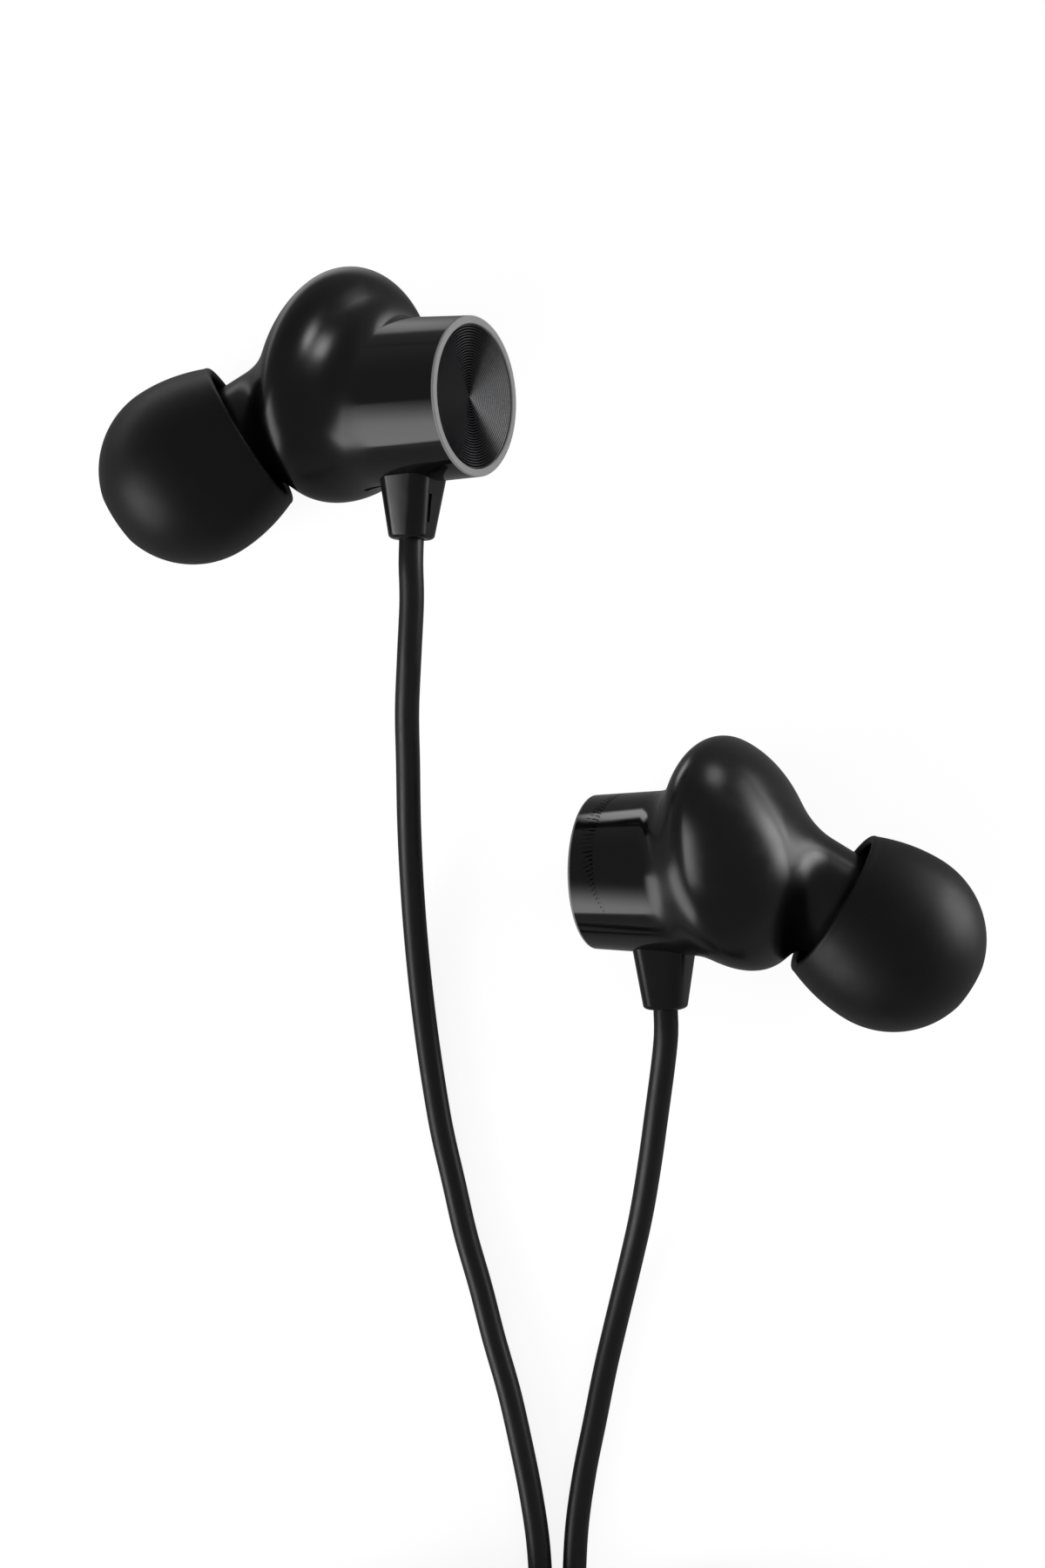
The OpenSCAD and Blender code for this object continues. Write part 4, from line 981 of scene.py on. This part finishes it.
def main_cord():
    points = [(SPLITTER_AT[0] + SPLITTER_LEN, SPLITTER_AT[1], MAIN_LEVEL)]
    points += coil_line(MAIN_MIDDLE, 90, MAIN_TURNS, 4, MAIN_INNER_R, MAIN_STEP, MAIN_STEP)
    level = MAIN_LEVEL + 3 * MAIN_STEP
    points += [(MAIN_MIDDLE[0] - MAIN_LEAD, MAIN_MIDDLE[1] - MAIN_OUTER_R, level)]
    points += [(MAIN_MIDDLE[0] - MAIN_LEAD - MAIN_D, MAIN_MIDDLE[1] - MAIN_OUTER_R, level)]
    points += MAIN_POINTS
    points += [(PLUG_AT[0] + MAIN_D, PLUG_AT[1], PLUG_AT[2]), PLUG_AT]
    return make_cord("main_cord_line", points, MAIN_D, ["main_cord", "main_cord_coil"])


def make_cords():
    left, left_exit, left_length = bud_cord("left", LEFT_POINTS, 0)
    right, right_exit, right_length = bud_cord("right", RIGHT_POINTS, STRAND_STEP)
    main, main_length = main_cord()
    splitter = make_splitter()
    pair_tie, main_tie = make_ties()


# Ties and splitter

TIE_T = 0.4
TIE_W = 4.0
TIE_SPARE = 0.2
COIL_CLEAR = 0.1


def sweep(rings):
    """Points and faces of a closed solid through rings of equally many points."""
    count = len(rings[0])
    faces = grid(len(rings), count)
    last = (len(rings) - 1) * count
    faces += [tuple(range(count))[::-1], tuple(range(last, last + count))]
    return np.concatenate(rings), faces


def strap(name, middle, turn, inner_r, outer_r, height, node):
    """Hook-and-loop strap wound once round a coil's turns, its end lapped over its start on top."""
    corner = 1 + TIE_T / 2
    low, high = inner_r - TIE_T / 2, outer_r + TIE_T / 2
    floor, top = TIE_T / 2, TIE_T * 1.5 + height
    start = low + (high - low) * 0.35
    lap = (high - low) * 0.45
    lapped = top + TIE_T + 0.05
    route = [(start, top, 90), (start + lap, top, 90), (high - corner, top, 90)]
    for centre, first in (((high - corner, top - corner), 90), ((high - corner, floor + corner), 0),
                          ((low + corner, floor + corner), -90), ((low + corner, top - corner), -180)):
        for a in np.linspace(first, first - 90, 9):
            way = math.radians(a)
            route.append((centre[0] + corner * math.cos(way), centre[1] + corner * math.sin(way), a))
    route += [(start - 1.5, top, -270), (start - 0.7, top + 0.2, -270)]
    route += [(start + lap * s, lapped, -270) for s in (0, 0.25, 0.5, 0.75, 1)]
    edge = 0.15
    half_w, half_t = TIE_W / 2 - edge, TIE_T / 2 - edge
    section = [(sx * half_w + edge * c, sz * half_t + edge * s) for sx, sz, c, s in round_corners(4)]
    rings = []
    for x, z, a in route:
        out = np.array([math.cos(math.radians(a)), 0, math.sin(math.radians(a))])
        rings.append(np.array([np.array([x, 0, z]) + out * t + np.array([0, w, 0]) for w, t in section]))
    points, faces = sweep(rings)
    spin = Matrix.Rotation(math.radians(turn), 4, "Z")
    matrix = Matrix.Translation(Vector((middle[0], middle[1], 0)) * MM) @ spin
    return make_piece(name, points, faces, matrix, "earphones", "tie_strap", [node], sharp=50)


def make_ties():
    pair_inner_r = PAIR_INNER_R - CORD_D / 2 - 0.5
    pair_outer_r = PAIR_OUTER_R + STRAND_STEP + CORD_D / 2 + TIE_SPARE
    pair_height = STRAND_STEP + CORD_D + 2 * COIL_CLEAR
    main_inner_r = MAIN_INNER_R - MAIN_D / 2 - 0.4
    main_outer_r = MAIN_OUTER_R + MAIN_D / 2 + TIE_SPARE
    main_height = 3 * MAIN_STEP + MAIN_D + 2 * COIL_CLEAR
    pair = strap("cord_tie_strap", PAIR_MIDDLE, 180, pair_inner_r, pair_outer_r, pair_height, "cord_tie")
    main = strap("main_tie_strap", MAIN_MIDDLE, 0, main_inner_r, main_outer_r, main_height, "main_tie")
    return pair, main


def make_splitter():
    """Soft-edged wedge from the two bud cords to the main cord."""
    width, thick, end_w, edge = 6.0, 3.0, 3.0, 0.5
    taper_start, taper_span = 0.2, 0.75
    roundness = 0.84
    ends = [(edge * (1 - math.cos(a)), edge * (1 - math.sin(a))) for a in np.radians(np.linspace(0, 90, 7))]
    stations = ends + [(x, 0) for x in np.linspace(edge, SPLITTER_LEN - edge, 24)[1:-1]]
    stations += [(SPLITTER_LEN - x, inset) for x, inset in ends[::-1]]
    rings = []
    for x, inset in stations:
        share = min(max((x / SPLITTER_LEN - taper_start) / taper_span, 0), 1)
        share = share * share * (3 - 2 * share)
        half_y = (width + (end_w - width) * share) / 2 - inset
        half_z = thick / 2 - inset
        r = half_z * roundness
        rings.append(np.array([
            (x, sy * (half_y - r) + r * c, sz * (half_z - r) + r * s) for sy, sz, c, s in round_corners(9)
        ]))
    points, faces = sweep(rings)
    matrix = Matrix.Translation(Vector(SPLITTER_AT) * MM)
    return make_piece("y_splitter_moulded", points, faces, matrix, "earphones",
                      "boot_black", ["y_splitter"], sharp=50)


def dress_nodes():
    """Gives every node the material of its slot in the record."""
    for entry in frame["record"]["subparts"]:
        node = frame["nodes"].get(entry["node"])
        if node is not None:
            node.data.materials.clear()
            node.data.materials.append(MATERIALS[entry["material_slot"]])


# The scene

MATERIALS = make_materials()
make_camera()
make_world()
make_floor()
dress_nodes()
make_cords()
shells = {}
boots = []
discs = []
for side in PLACE:
    shells[side] = [rear_shell(side), front_shell(side)]
    ear_tip(side)
    discs.append(trim_and_disc(side))
    boots.append(boot(side))
make_lights(shells["left"], shells["right"], boots, discs)
bpy.context.scene.view_settings.view_transform = "Standard"
